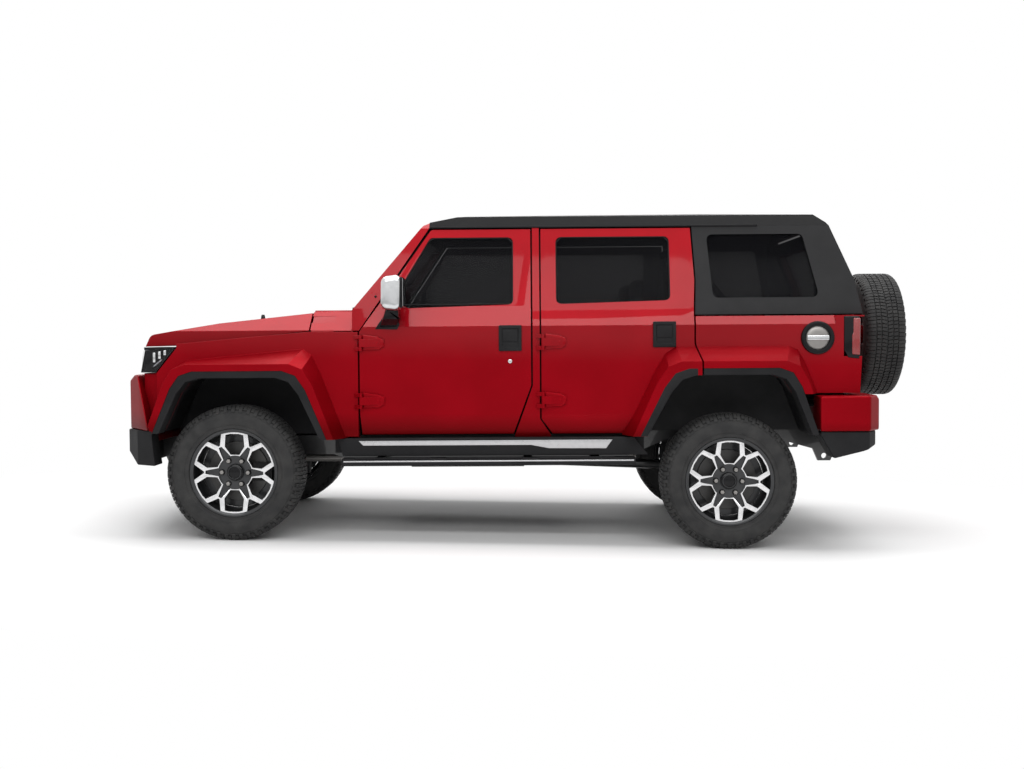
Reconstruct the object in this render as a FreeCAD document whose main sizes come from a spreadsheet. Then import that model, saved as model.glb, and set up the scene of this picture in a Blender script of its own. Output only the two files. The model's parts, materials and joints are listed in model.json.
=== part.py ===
import FreeCAD, Part
import math
import os
import Sketcher
from FreeCAD import Placement, Rotation, Vector

# Lifted off-road 4x4 with five doors, a ladder frame, a hard top and a spare wheel on its tailgate.
# Millimetres, +Z up, the front towards -X, the left side towards -Y, the origin on the ground
# at mid-length and mid-width. The body and its frame are drawn level, and then lifted at the
# rear by the rake angle about the ground point below the front axle. The wheels stand level.

os.makedirs("parts", exist_ok=True)
doc = FreeCAD.newDocument("off_road_4x4")
sheet = doc.addObject("Spreadsheet::Sheet", "sizes")

SIZES = {
    # Stance
    "front_axle_x": -1607.5, "wheelbase": 2745, "half_track": 800, "rake_angle": 1.3,
    # Tyres and rims
    "tyre_radius": 375.5, "tyre_width": 245, "tread_width": 196, "tyre_wall": 14, "bead_radius": 230,
    "bead_width": 196, "rim_flange_radius": 244, "rim_flange": 7, "rim_wall": 12, "rim_face": 26,
    "rim_dish": 34, "cap_radius": 37, "window_inner_radius": 90,
    "window_inner_half": 31, "window_outer_half": 52, "window_outer_radius": 207, "fork_radius": 152,
    "fork_half": 21, "hub_radius": 72, "hub_depth": 46, "disc_radius": 168, "disc_thickness": 24,
    "disc_place": 14, "seat_clearance": 0.3,
    # Front steering and running gear
    "kingpin_offset": 82, "kingpin_radius": 26, "knuckle_half_height": 118, "knuckle_width": 56,
    "arm_thickness": 26, "axle_tube_radius": 42, "diff_radius": 132, "spring_radius": 58,
    "damper_radius": 24, "damper_place": 530,
    # Frame
    "rail_half": 470, "rail_width": 76, "rail_depth": 112, "rail_low_z": 398, "rail_high_z": 522,
    "frame_front_x": -2120, "frame_rear_x": 1850, "cross_radius": 36,
    "eye_reach": 74, "eye_radius": 16, "eye_thickness": 22,
    # Body section
    "half_body": 845, "half_sill": 806, "half_belt": 802, "half_rail": 704, "half_flare": 962.5,
    "sill_z": 560, "tuck_z": 690, "crease_z": 1180, "belt_z": 1290, "rail_z": 1735, "roof_z": 1838,
    "roof_shoulder": 96, "roof_shoulder_z": 1806, "wall": 76, "frame_wall": 46, "skin": 20,
    "gap": 9, "edge_step": 15, "glass_depth": 13, "glass": 6, "roof_wall": 30, "floor_plate": 12,
    # Doors and pillars
    "door_front_x": -902, "door_low_z": 578, "door_top_z": 1726, "pillar_foot_z": 1152,
    "door_top_front_x": -506, "door_toe_x": -852, "door_toe_z": 698, "door_heel_x": -57,
    "door_heel_z": 849, "pillar_x": 81.5, "pillar_half": 19.5, "rear_toe_x": 163, "rear_toe_z": 662,
    "rear_door_back": -170, "rear_door_top_back": -186, "rear_door_hip_z": 975, "rear_door_hip": 18,
    "window_low_z": 1300, "window_high_z": 1680, "window_radius": 30,
    "front_window_x": -658, "front_window_top_x": -512, "front_window_rise_z": 1432,
    "front_window_back_x": -45, "rear_window_x": 194, "rear_window_back_x": 832,
    "quarter_window_x": 1056, "quarter_window_back_x": 1662, "quarter_window_top_back_x": 1580,
    # Hinges
    "pin_out": 27, "pin_back": 9, "hinge_radius": 10, "strap_length": 132, "strap_height": 44,
    "strap_thickness": 13, "hinge_high_z": 1090, "hinge_low_z": 768, "knuckle_gap": 0.5,
    # Tail
    "tail_x": 1875, "tail_belt_x": 1897, "tail_belt_z": 1236, "tail_knee_x": 1858, "tail_knee_z": 1430,
    "tail_top_x": 1742, "tail_low_z": 797, "tailgate_half": 631, "tailgate_wall": 62,
    "tail_window_half": 520, "tail_window_high_z": 1640, "lamp_x": 1784, "lamp_low_z": 1000,
    "lamp_high_z": 1219, "lamp_width": 92, "spare_x": 2168, "spare_z": 1122, "carrier_radius": 58,
    "tail_pin_x": 1906, "tail_pin_out": 24,
    # Nose
    "cowl_x": -1186, "cowl_z": 1268, "nose_x": -2118, "bonnet_tip_z": 1078, "bonnet_brow_x": -2088,
    "bonnet_brow_z": 1143, "bonnet_mid_x": -1712, "bonnet_mid_z": 1207, "bonnet_half": 774,
    "bonnet_edge_z": 1164, "bonnet_edge_front_z": 1092, "bonnet_shoulder": 640, "bonnet_wall": 22,
    "fender_wall": 62, "lamp_face_x": -2138, "lamp_low_front_z": 930, "lamp_back_x": -1924,
    "grille_half": 470, "grille_bar": 16,
    "bumper_x": -2224, "bumper_crown": 84, "bumper_low_z": 614, "bumper_back_x": -2056,
    "valance_low_z": 420, "valance_back_x": -2024, "guard_x": -2234,
    "rear_bumper_x": 1982, "rear_bumper_high_z": 784, "rear_bumper_low_z": 590,
    "rear_valance_low_z": 440,
    # Windscreen
    "screen_foot_x": -946, "screen_foot_z": 1276, "screen_top_x": -552, "screen_top_z": 1752,
    "screen_half": 640, "screen_border": 66,
    # Wheel arches, along X from each axle
    "front_arch_front": -388, "front_arch_front_z": 600, "front_arch_shoulder": -248,
    "front_arch_back_shoulder": 338, "front_arch_back": 497, "front_arch_back_z": 561,
    "rear_arch_front": -453, "rear_arch_shoulder": -268, "rear_arch_back_shoulder": 318,
    "rear_arch_back": 450, "rear_arch_foot_z": 570, "arch_top_z": 903, "arch_corner": 84,
    "trim_width": 38, "ridge_width": 76, "flare_front_shoulder": -305, "flare_front_shoulder_z": 1004,
    "flare_back_shoulder": 445, "flare_top_z": 1080, "flare_front": -470, "flare_back": 641,
    "rear_flare_front": -581, "rear_flare_shoulder": -330, "rear_flare_back_shoulder": 398,
    "rear_flare_back": 520, "rear_flare_back_z": 800, "liner": 6, "liner_margin": 14,
    # Steps, cladding and underside
    "step_half": 902, "step_width": 96, "step_z": 424, "step_height": 50, "step_front_x": -1000,
    "step_back_x": 627, "cladding_low_z": 460, "cladding_width": 46,
    "engine_x": -1480, "engine_length": 620, "engine_width": 560, "engine_height": 560, "engine_z": 500,
    # Cabin
    "seat_width": 500, "seat_front_x": -360, "seat_back_x": 560, "seat_z": 850, "seat_depth": 490,
    "seat_height": 620, "seat_thickness": 130, "seat_lean": 120, "seat_place": 375, "bench_half": 610,
    "front_pull_x": -124, "front_pull_z": 1043, "rear_pull_x": 731, "rear_pull_z": 1058,
    "handle_width": 123, "handle_height": 139, "handle_out": 11, "handle_edge": 13, "dash_x": -882, "dash_depth": 330, "dash_z": 1190, "dash_height": 230, "wheel_x": -470,
    "wheel_z": 1085, "wheel_rim_radius": 185, "wheel_rim_tube": 15, "wheel_lean": 24,
    # Mirrors
    "mirror_x": -745, "mirror_z": 1272, "mirror_height": 176, "mirror_width": 176, "mirror_depth": 104,
    "mirror_out": 880,
}
for row, (alias, number) in enumerate(SIZES.items(), start=1):
    sheet.set(f"A{row}", alias)
    sheet.set(f"B{row}", str(number))
    sheet.setAlias(f"B{row}", alias)
doc.recompute()


class Size:
    """A length of the sheet, or a sum of such lengths: its number and its expression."""

    def __init__(self, value, text):
        self.value = value
        self.text = text

    def __add__(self, other):
        other = as_size(other)
        return Size(self.value + other.value, f"({self.text} + {other.text})")

    def __sub__(self, other):
        other = as_size(other)
        return Size(self.value - other.value, f"({self.text} - {other.text})")

    def __mul__(self, factor):
        factor = as_size(factor)
        return Size(self.value * factor.value, f"({self.text} * {factor.text})")

    def __truediv__(self, divisor):
        divisor = as_size(divisor)
        return Size(self.value / divisor.value, f"({self.text} / {divisor.text})")

    def __neg__(self):
        return Size(-self.value, f"(0 - {self.text})")

    __radd__ = __add__
    __rmul__ = __mul__

    def __rsub__(self, other):
        return as_size(other) - self


def as_size(value):
    return value if isinstance(value, Size) else Size(float(value), f"({float(value)})")


class SheetSizes:
    """Reads a size of the sheet by its alias."""

    def __getattr__(self, alias):
        return Size(float(sheet.get(alias)), f"sizes.{alias}")


S = SheetSizes()
rear_axle_x = S.front_axle_x + S.wheelbase

# The flats of a large and of a small round piece that turns
ROUND_FLATS = 24
SMALL_FLATS = 16
# The chords of a rounded corner
CORNER_CHORDS = 3

# A sketch plane: how it is turned, the place that sets it, and the way that its prisms run.
PLANES = {
    "side": (Rotation(Vector(1, 0, 0), 90), "y", Vector(0, 1, 0)),
    "across": (Rotation(Vector(1, 1, 1), 120), "x", Vector(1, 0, 0)),
    "plan": (Rotation(), "z", Vector(0, 0, 1)),
}


def bind(item, path, size):
    item.setExpression(path, as_size(size).text)


def rounded_corners(corners):
    """The corners of an outline, where each (u, v, radius) becomes a few chords of its arc."""
    corners = [tuple(as_size(number) for number in corner) for corner in corners]
    flat = [Vector(corner[0].value, corner[1].value, 0) for corner in corners]
    points = []
    for index, corner in enumerate(corners):
        if len(corner) == 2:
            points.append(corner)
            continue
        here = flat[index]
        to_back = (flat[index - 1] - here).normalize()
        to_ahead = (flat[(index + 1) % len(flat)] - here).normalize()
        half = to_back.getAngle(to_ahead) / 2
        middle = (to_back + to_ahead).normalize() / math.sin(half)
        first, last = to_back / math.tan(half) - middle, to_ahead / math.tan(half) - middle
        turn = math.copysign(first.getAngle(last), first.cross(last).z) / CORNER_CHORDS
        for step in range(CORNER_CHORDS + 1):
            place = middle + Rotation(Vector(0, 0, 1), math.degrees(turn) * step).multVec(first)
            points.append((corner[0] + corner[2] * place.x, corner[1] + corner[2] * place.y))
    return points


def draw(sketch, corners):
    """Draws a closed outline: each corner is (u, v), or (u, v, radius) where it is rounded."""
    corners = rounded_corners(corners)
    flat = [Vector(corner[0].value, corner[1].value, 0) for corner in corners]
    for start, end in zip(flat, flat[1:] + flat[:1]):
        sketch.addGeometry(Part.LineSegment(start, end))
    for index, corner in enumerate(corners):
        sketch.addConstraint(Sketcher.Constraint("Coincident", (index - 1) % len(corners), 2, index, 1))
        hold(sketch, index, 1, corner)


def hold(sketch, geometry, end, corner):
    """Ties a point of a sketch to its two sizes."""
    for kind, size in (("DistanceX", corner[0]), ("DistanceY", corner[1])):
        place = sketch.addConstraint(Sketcher.Constraint(kind, -1, 1, geometry, end, size.value))
        sketch.setExpression(f"Constraints[{place}]", size.text)


def outline(name, plane, corners, place=0):
    """A closed sketch on a plane at a place along the plane's own axis."""
    turn, letter, _ = PLANES[plane]
    sketch = doc.addObject("Sketcher::SketchObject", name)
    sketch.Placement = Placement(Vector(), turn)
    bind(sketch, f"Placement.Base.{letter}", place)
    draw(sketch, corners)
    return sketch


def prism(name, plane, corners, start, end):
    """An outline drawn out along its plane's axis, from one place to another."""
    item = doc.addObject("Part::Extrusion", name)
    item.Base = outline(name + "_outline", plane, corners, start)
    item.DirMode = "Custom"
    item.Dir = PLANES[plane][2]
    item.Solid = True
    item.LengthFwd = as_size(end).value - as_size(start).value
    bind(item, "LengthFwd", as_size(end) - start)
    return item


def box(name, low, high):
    """A block between two corners, each of three sizes."""
    item = doc.addObject("Part::Box", name)
    for side, letter, first, last in zip(("Length", "Width", "Height"), "xyz", low, high):
        bind(item, side, as_size(last) - first)
        bind(item, f"Placement.Base.{letter}", first)
    return item


def along(item, axis, start, end, across):
    """Stands a round piece along an axis from start to end; across is its place on the other two axes."""
    turns = {"x": Rotation(Vector(0, 1, 0), 90), "y": Rotation(Vector(1, 0, 0), -90), "z": Rotation()}
    item.Placement = Placement(Vector(), turns[axis])
    bind(item, "Height", as_size(end) - start)
    bind(item, f"Placement.Base.{axis}", start)
    for letter, size in zip([letter for letter in "xyz" if letter != axis], across):
        bind(item, f"Placement.Base.{letter}", size)
    return item


def rod(name, axis, start, end, radius, across):
    """A small round bar as a prism inside its circle."""
    item = doc.addObject("Part::Prism", name)
    item.Polygon = SMALL_FLATS
    bind(item, "Circumradius", radius)
    return along(item, axis, start, end, across)


def bore(name, axis, start, end, radius, across):
    """A true cylinder, for a hole that takes a pin."""
    item = doc.addObject("Part::Cylinder", name)
    bind(item, "Radius", radius)
    return along(item, axis, start, end, across)


def bar(name, start, end, radius):
    """A small round bar between two points."""
    first, last = (Vector(*(as_size(number).value for number in point)) for point in (start, end))
    item = doc.addObject("Part::Prism", name)
    item.Polygon = SMALL_FLATS
    bind(item, "Circumradius", radius)
    item.Height = (last - first).Length
    item.Placement = Placement(first, Rotation(Vector(0, 0, 1), last - first))
    return item


def lifted(x, z):
    """The true height of a point of the raked body."""
    angle = math.radians(S.rake_angle.value)
    return z * math.cos(angle) + (x - S.front_axle_x) * math.sin(angle)


def fuse(name, *items):
    item = doc.addObject("Part::MultiFuse", name)
    item.Shapes = list(items)
    item.Refine = True
    return item


def common(name, base, tool):
    item = doc.addObject("Part::Common", name)
    item.Base = base
    item.Tool = tool
    return item


def cut(name, base, *tools):
    item = doc.addObject("Part::Cut", name)
    item.Base = base
    item.Tool = tools[0] if len(tools) == 1 else fuse(name + "_tools", *tools)
    return item


def mirror(name, source):
    """The same piece on the other side of the vehicle."""
    item = doc.addObject("Part::Mirroring", name)
    item.Source = source
    item.Normal = Vector(0, 1, 0)
    return item


def group(name, *items):
    """Pieces of one sub-part that don't touch."""
    item = doc.addObject("Part::Compound", name)
    item.Links = list(items)
    return item


def pair(name, source):
    return group(name, source, mirror(name + "_right", source))


subparts = []


def subpart(label, item, raked=True):
    """Names a finished piece, and lifts it with the body where it is carried by the frame."""
    if item.TypeId in ("Part::Box", "Part::Prism"):
        item = group(item.Name + "_whole", item)
    item.Label = label
    if raked:
        pivot = Vector(S.front_axle_x.value, 0, 0)
        item.Placement = Placement(Vector(), Rotation(Vector(0, 1, 0), -S.rake_angle.value), pivot)
    subparts.append(item)
    return item


def left_right(stem, item):
    """A left piece and its mirror image, as two sub-parts."""
    left = subpart(stem + "_left", item)
    right = mirror(stem + "_other", left)
    right.Label = stem + "_right"
    subparts.append(right)


# Sections that the side walls share


def wall_section(name, near, far_low, far_high, start, end):
    """The left wall between two depths below its skin, drawn out along the vehicle."""
    heights = (S.sill_z, S.tuck_z, S.crease_z, S.belt_z, S.rail_z)
    halves = (S.half_sill, S.half_body, S.half_body, S.half_belt, S.half_rail)
    depths = (far_low, far_low, far_low, far_high, far_high)
    outer = [(near - half, height) for half, height in zip(halves, heights)]
    inner = [(depth - half, height) for half, depth, height in zip(halves, depths, heights)]
    return prism(name, "across", outer + inner[::-1], start, end)


def side_cut(name, corners):
    """A side outline drawn through the left wall."""
    return prism(name, "side", corners, -S.half_flare - S.wall, S.seat_width - S.half_rail)


def cut_corners(foot, shoulder, back_shoulder, back, reach):
    """A wheel opening's outline from its feet and shoulders, with each shoulder's corner rounded off."""
    share = 0.28
    points = [foot]
    for corner, side, level in ((shoulder, foot, reach), (back_shoulder, back, -reach)):
        slanted = (corner[0] + (side[0] - corner[0]) * share, corner[1] + (side[1] - corner[1]) * share)
        flat = (corner[0] + level, corner[1])
        between = tuple((one + two) / 4 + middle / 2 for one, two, middle in zip(slanted, flat, corner))
        points += [slanted, between, flat] if corner is shoulder else [flat, between, slanted]
    return points + [back]


def arch(axle, front, front_z, shoulder, back_shoulder, back, back_z, grow):
    """A wheel opening with two feet and two cut shoulders, grown outwards by a margin."""
    return cut_corners(
        (axle + front - grow, front_z), (axle + shoulder - grow, S.arch_top_z + grow),
        (axle + back_shoulder + grow, S.arch_top_z + grow), (axle + back + grow, back_z), S.arch_corner)


def front_arch(grow, low=None):
    return arch(S.front_axle_x, S.front_arch_front, low or S.front_arch_front_z, S.front_arch_shoulder,
                S.front_arch_back_shoulder, S.front_arch_back, low or S.front_arch_back_z, grow)


def rear_arch(grow, low=None):
    return arch(rear_axle_x, S.rear_arch_front, low or S.rear_arch_foot_z, S.rear_arch_shoulder,
                S.rear_arch_back_shoulder, S.rear_arch_back, low or S.rear_arch_foot_z, grow)


def opening(corners):
    """An arch outline carried down below the body, for cutting."""
    drop = S.arch_corner * 2
    first, last = corners[0], corners[-1]
    return [(first[0], first[1] - drop), *corners, (last[0], last[1] - drop)]


def flare(name, foot, foot_z, shoulder, shoulder_z, back_shoulder, back, back_z, ridge, inner):
    """A flared arch: its foot on the side wall slopes out to a ridge, both around the trim's edge."""
    base = cut_corners((foot, foot_z), (shoulder, shoulder_z), (back_shoulder, S.flare_top_z), (back, back_z),
                       S.arch_corner / 2)
    depth = S.fender_wall / 2 - S.half_body
    profiles = [outline(name + "_base", "side", base + inner[::-1], depth),
                outline(name + "_ridge", "side", ridge + inner[::-1], -S.half_flare)]
    item = doc.addObject("Part::Loft", name)
    item.Sections = profiles
    item.Solid = True
    item.Ruled = True
    return item


# Wheels: what turns is drawn with flats, so that five wheels stay light


def flats(name, axis, start, end, radius, count=ROUND_FLATS):
    """A prism about the Y or Z axis, from start to end, whose flats touch a circle of the radius."""
    item = doc.addObject("Part::Prism", name)
    item.Polygon = count
    bind(item, "Circumradius", radius / math.cos(math.pi / count))
    bind(item, "Height", as_size(end) - start)
    turned = Rotation(Vector(0, 0, 1), 180 / count)
    if axis == "y":
        turned = Rotation(Vector(1, 0, 0), -90) * turned
    item.Placement = Placement(Vector(), turned)
    bind(item, f"Placement.Base.{axis}", start)
    return item


def faceted(name, sections):
    """A ring of flats about the Y axis, from its cross-section's corners as (place, radius)."""
    rings = []
    for place, radius in sections:
        reach = as_size(radius).value / math.cos(math.pi / ROUND_FLATS)
        turns = [math.pi * (2 * index + 1) / ROUND_FLATS for index in range(ROUND_FLATS)]
        rings.append([Vector(reach * math.cos(turn), as_size(place).value, reach * math.sin(turn)) for turn in turns])
    faces = []
    for ring, following in zip(rings, rings[1:] + rings[:1]):
        for index in range(ROUND_FLATS):
            corners = [ring[index - 1], ring[index], following[index], following[index - 1]]
            faces.append(Part.Face(Part.makePolygon(corners + corners[:1])))
    item = doc.addObject("Part::Feature", name)
    item.Shape = Part.makeSolid(Part.makeShell(faces))
    return item


def tyre():
    """A tyre about the Y axis: a flat tread, square shoulders and side walls that bulge."""
    half, bead, tread = S.tyre_width / 2, S.bead_width / 2, S.tread_width / 2
    bulge = S.bead_radius + (S.tyre_radius - S.bead_radius) * 0.56
    shoulder = S.tyre_radius - S.tyre_wall * 1.3
    side = [(bead, S.bead_radius), (bead, S.rim_flange_radius), (half, bulge), (half - S.tyre_wall / 2, shoulder),
            (tread, S.tyre_radius)]
    return faceted("tyre", side + [(-place, radius) for place, radius in side[::-1]])


def turned_corners(corners, angle):
    """The corners of an outline, turned about the axle by an angle in degrees."""
    cosine, sine = math.cos(math.radians(angle)), math.sin(math.radians(angle))
    return [(u * cosine - v * sine, u * sine + v * cosine) for u, v in corners]


def rim(name, braked):
    """A six-spoke rim about the Y axis, its face towards -Y, with its hub and its brake disc."""
    half = S.bead_width / 2 + S.seat_clearance
    edge = half + S.rim_flange
    seat = S.bead_radius - S.seat_clearance
    inner = seat - S.rim_wall
    face = S.rim_dish - edge
    back = face + S.rim_face
    barrel = flats(name + "_barrel", "y", -edge, edge, seat)
    outer_flange = flats(name + "_outer_flange", "y", -edge, -half, S.rim_flange_radius)
    inner_flange = flats(name + "_inner_flange", "y", half, edge, S.rim_flange_radius)
    bores = [flats(name + "_front_bore", "y", -edge - 1, face, inner),
             flats(name + "_back_bore", "y", back, edge + 1, inner)]
    knee = S.window_inner_radius + (S.window_outer_radius - S.window_inner_radius) * 0.62
    window = [
        (-S.window_inner_half, S.window_inner_radius), (S.window_inner_half, S.window_inner_radius),
        (S.window_outer_half, knee), (S.window_outer_half * 0.86, S.window_outer_radius),
        (-S.window_outer_half * 0.86, S.window_outer_radius), (-S.window_outer_half, knee),
    ]
    fork = [
        (as_size(0), S.fork_radius), (S.fork_half, S.window_outer_radius - S.rim_wall / 2),
        (-S.fork_half, S.window_outer_radius - S.rim_wall / 2),
    ]
    holes = []
    for index in range(6):
        for stem, corners, turn in (("window", window, 0), ("fork", fork, 30)):
            holes.append(prism(f"{name}_{stem}_{index}", "side", turned_corners(corners, turn + index * 60),
                               face - 1, back + 1))
    wheel = cut(name + "_open", fuse(name + "_outer", barrel, outer_flange, inner_flange), *bores, *holes)
    cap = flats(name + "_cap", "y", face - S.rim_flange, face + S.rim_flange, S.cap_radius, SMALL_FLATS)
    hub = flats(name + "_hub", "y", back - S.rim_flange, S.hub_depth, S.hub_radius, SMALL_FLATS)
    pieces = [wheel, cap, hub]
    if braked:
        disc_back = S.disc_place + S.disc_thickness
        pieces.append(flats(name + "_disc", "y", S.disc_place, disc_back, S.disc_radius))
    return fuse(name, *pieces)


def wheel_places():
    """Each wheel's name, its centre and the turn that points its face outwards."""
    for end, axle in (("front", S.front_axle_x), ("rear", rear_axle_x)):
        for side, sign, turn in (("left", -1, 0), ("right", 1, 180)):
            centre = Vector(axle.value, sign * S.half_track.value, S.tyre_radius.value)
            yield f"{end}_{side}", Placement(centre, Rotation(Vector(0, 0, 1), turn))


tyre_pattern = tyre()
rim_pattern = rim("rim", True)
for place_name, place in wheel_places():
    for stem, item in (("tyre", tyre_pattern), ("rim", rim_pattern)):
        copy = group(f"{stem}_at_{place_name}", item)
        subpart(f"{stem}_{place_name}", copy, raked=False).Placement = place

rake = Placement(Vector(), Rotation(Vector(0, 1, 0), -S.rake_angle.value), Vector(S.front_axle_x.value, 0, 0))
spare_place = rake * Placement(Vector(S.spare_x.value, 0, S.spare_z.value), Rotation(Vector(0, 0, 1), 90))
for stem, item in (("spare_tyre", group("tyre_at_tail", tyre_pattern)), ("spare_rim", rim("plain_rim", False))):
    subpart(stem, item, raked=False).Placement = spare_place


# Front running gear

knuckle_y = S.kingpin_offset - S.half_track
knuckle_low = S.tyre_radius - S.knuckle_half_height
knuckle_high = S.tyre_radius + S.knuckle_half_height
hub_face = S.hub_depth + S.seat_clearance - S.half_track
front_rail_z = S.rail_low_z + S.rail_depth / 3


def knuckle():
    """The left upright: a kingpin post, a hub boss, a steering arm and the brake caliper."""
    post = box("knuckle_post", (S.front_axle_x - S.kingpin_radius, knuckle_y - S.kingpin_radius, knuckle_low),
               (S.front_axle_x + S.kingpin_radius, knuckle_y + S.kingpin_radius, knuckle_high))
    boss = flats("knuckle_boss", "y", hub_face, knuckle_y, S.hub_radius * 0.8, SMALL_FLATS)
    bind(boss, "Placement.Base.x", S.front_axle_x)
    bind(boss, "Placement.Base.z", S.tyre_radius)
    arm = box("knuckle_arm", (S.front_axle_x, knuckle_y - S.knuckle_width / 4, knuckle_low),
              (S.front_axle_x + S.knuckle_half_height * 1.2, knuckle_y + S.knuckle_width / 4,
               knuckle_low + S.arm_thickness))
    disc_y = S.disc_place - S.half_track
    clear = S.disc_thickness / 4
    near = disc_y - clear - S.disc_thickness / 2
    far = disc_y + S.disc_thickness + clear
    inner_x = S.front_axle_x + S.hub_radius + clear * 2
    block = box("caliper_block", (inner_x, near, S.tyre_radius - S.kingpin_radius * 2),
                (S.front_axle_x + S.disc_radius + clear * 4, far + S.disc_thickness,
                 S.tyre_radius + S.kingpin_radius * 2))
    slot = flats("caliper_slot", "y", disc_y - clear, far, S.disc_radius + clear)
    bind(slot, "Placement.Base.x", S.front_axle_x)
    bind(slot, "Placement.Base.z", S.tyre_radius)
    bracket = box("caliper_bracket", (S.front_axle_x, hub_face, S.tyre_radius - S.kingpin_radius),
                  (S.front_axle_x + S.disc_radius, far + S.disc_thickness, S.tyre_radius + S.kingpin_radius))
    caliper = cut("caliper", block, slot)
    return fuse("knuckle", post, boss, arm, caliper, bracket)


left_knuckle = subpart("knuckle_front_left", knuckle(), raked=False)
right_knuckle = mirror("knuckle_other", left_knuckle)
subpart("knuckle_front_right", right_knuckle, raked=False)


def wishbone(name, low, reach, foot):
    """A flat triangular arm from its foot at the frame to a pad on the kingpin's line."""
    tip = S.kingpin_radius
    corners = [
        (S.front_axle_x - reach, foot), (S.front_axle_x - tip, knuckle_y), (S.front_axle_x + tip, knuckle_y),
        (S.front_axle_x + reach, foot), (S.front_axle_x + reach * 0.66, foot),
        (S.front_axle_x, knuckle_y + S.kingpin_radius * 2.6), (S.front_axle_x - reach * 0.66, foot),
    ]
    return prism(name, "plan", corners, low, low + S.arm_thickness)


def front_suspension():
    """The left arms, the damper and the towers that hang the lower arm from the rail."""
    low = knuckle_low - S.seat_clearance - S.arm_thickness
    high = knuckle_high + S.seat_clearance
    reach = S.knuckle_half_height * 1.6
    rail_face = -S.rail_half - S.seat_clearance
    lower = wishbone("lower_arm", low, reach, -S.rail_half + S.rail_width / 2)
    upper = wishbone("upper_arm", high, S.knuckle_half_height, rail_face)
    pads = [rod(f"arm_pad_{index}", "z", start, start + S.arm_thickness, S.kingpin_radius,
                (S.front_axle_x, knuckle_y)) for index, start in enumerate((low, high))]
    mount = box("arm_mount", (S.front_axle_x - reach, -S.rail_half, low),
                (S.front_axle_x + reach, -S.rail_half + S.rail_width, low + S.arm_thickness))
    towers = []
    for stem, near, far in (("ahead", -reach, -reach / 2), ("behind", reach / 2, reach)):
        top = lifted(S.front_axle_x + near, front_rail_z) - S.seat_clearance
        towers.append(box(f"tower_{stem}", (S.front_axle_x + near, -S.rail_half, low),
                          (S.front_axle_x + far, -S.rail_half + S.rail_width, top)))
    damper = rod("front_damper", "z", low + S.arm_thickness + S.seat_clearance, front_rail_z + S.rail_depth,
                 S.damper_radius, (S.front_axle_x, -S.damper_place))
    bracket = box("damper_bracket", (S.front_axle_x - S.damper_radius, -S.damper_place, high + S.arm_thickness + S.gap),
                  (S.front_axle_x + S.damper_radius, rail_face, front_rail_z + S.rail_depth))
    return [fuse("lower_arms", lower, mount, *towers, pads[0]), fuse("upper_arms", upper, pads[1]),
            fuse("damper", damper, bracket)]


# Frame


def rail_side(name):
    """The rail seen from the side: low amidships, kicked up over the rear axle."""
    low, high, deep = S.rail_low_z, S.rail_high_z, S.rail_depth
    points = [
        (S.frame_front_x, front_rail_z), (S.front_axle_x + S.front_arch_back, front_rail_z),
        (S.front_axle_x + S.front_arch_back + deep, low), (rear_axle_x + S.rear_arch_front - deep, low),
        (rear_axle_x + S.rear_arch_shoulder, high), (rear_axle_x + S.rear_arch_back_shoulder, high),
        (rear_axle_x + S.rear_arch_back + deep, low + deep / 2), (S.frame_rear_x, low + deep / 2),
    ]
    top = [(x, z + deep) for x, z in points]
    return prism(name, "side", points + top[::-1], -S.rail_half, -S.rail_half + S.rail_width)


def tow_eye(name, x, rail_z):
    """A plate below the left rail with a hole for a shackle's pin."""
    y = -S.rail_half + S.rail_width / 2
    low = rail_z - S.eye_reach
    plate = prism(name + "_plate", "side", [
        (x - S.eye_reach, rail_z + S.rim_wall), (x - S.eye_reach / 2, low), (x + S.eye_reach / 2, low),
        (x + S.eye_reach, rail_z + S.rim_wall)], y - S.eye_thickness / 2, y + S.eye_thickness / 2)
    hole = bore(name + "_hole", "y", y - S.eye_thickness, y + S.eye_thickness, S.eye_radius,
               (x, low + S.eye_radius * 1.75))
    return cut(name, plate, hole)


def chassis_frame():
    left = rail_side("rail")
    right = mirror("rail_right", left)
    low = S.rail_low_z
    middle = [
        ("front", S.frame_front_x + S.cross_radius * 2, low + S.rail_depth * 0.8),
        ("gearbox", S.door_front_x + S.strap_length, low + S.rail_depth / 2),
        ("middle", S.pillar_x, low + S.rail_depth / 2),
        ("spring", rear_axle_x + S.rear_arch_back_shoulder - S.cross_radius * 2, S.rail_high_z + S.rail_depth / 2),
        ("tail", S.frame_rear_x - S.cross_radius * 2, low + S.rail_depth),
    ]
    bars = [box(f"cross_{stem}", (x - S.cross_radius, -S.rail_half + S.rail_width / 2, z - S.cross_radius),
                (x + S.cross_radius, S.rail_half - S.rail_width / 2, z + S.cross_radius)) for stem, x, z in middle]
    mount_top = S.sill_z - S.seat_clearance
    mounts = []
    for stem, x in (("front", S.door_front_x + S.strap_length), ("rear", S.rear_toe_x + S.strap_length * 2)):
        mount = box(f"mount_{stem}", (x - S.cross_radius, -S.rail_half, low + S.rail_depth / 2),
                    (x + S.cross_radius, -S.rail_half + S.rail_width, mount_top))
        mounts += [mount, mirror(f"mount_{stem}_right", mount)]
    eyes = [tow_eye("front_eye", S.frame_front_x + S.eye_reach, front_rail_z),
            tow_eye("rear_eye", S.frame_rear_x - S.eye_reach, low + S.rail_depth / 2)]
    mounts += eyes + [mirror(eye.Name + "_right", eye) for eye in eyes]
    return fuse("frame", left, right, *bars, *mounts)


subpart("chassis_frame", chassis_frame())

left_pieces = front_suspension()
right_pieces = [mirror(piece.Name + "_right", piece) for piece in left_pieces]
subpart("front_suspension", group("front_suspension", *left_pieces, *right_pieces), raked=False)


spring_y = -S.rail_half + S.rail_width / 2


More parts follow.
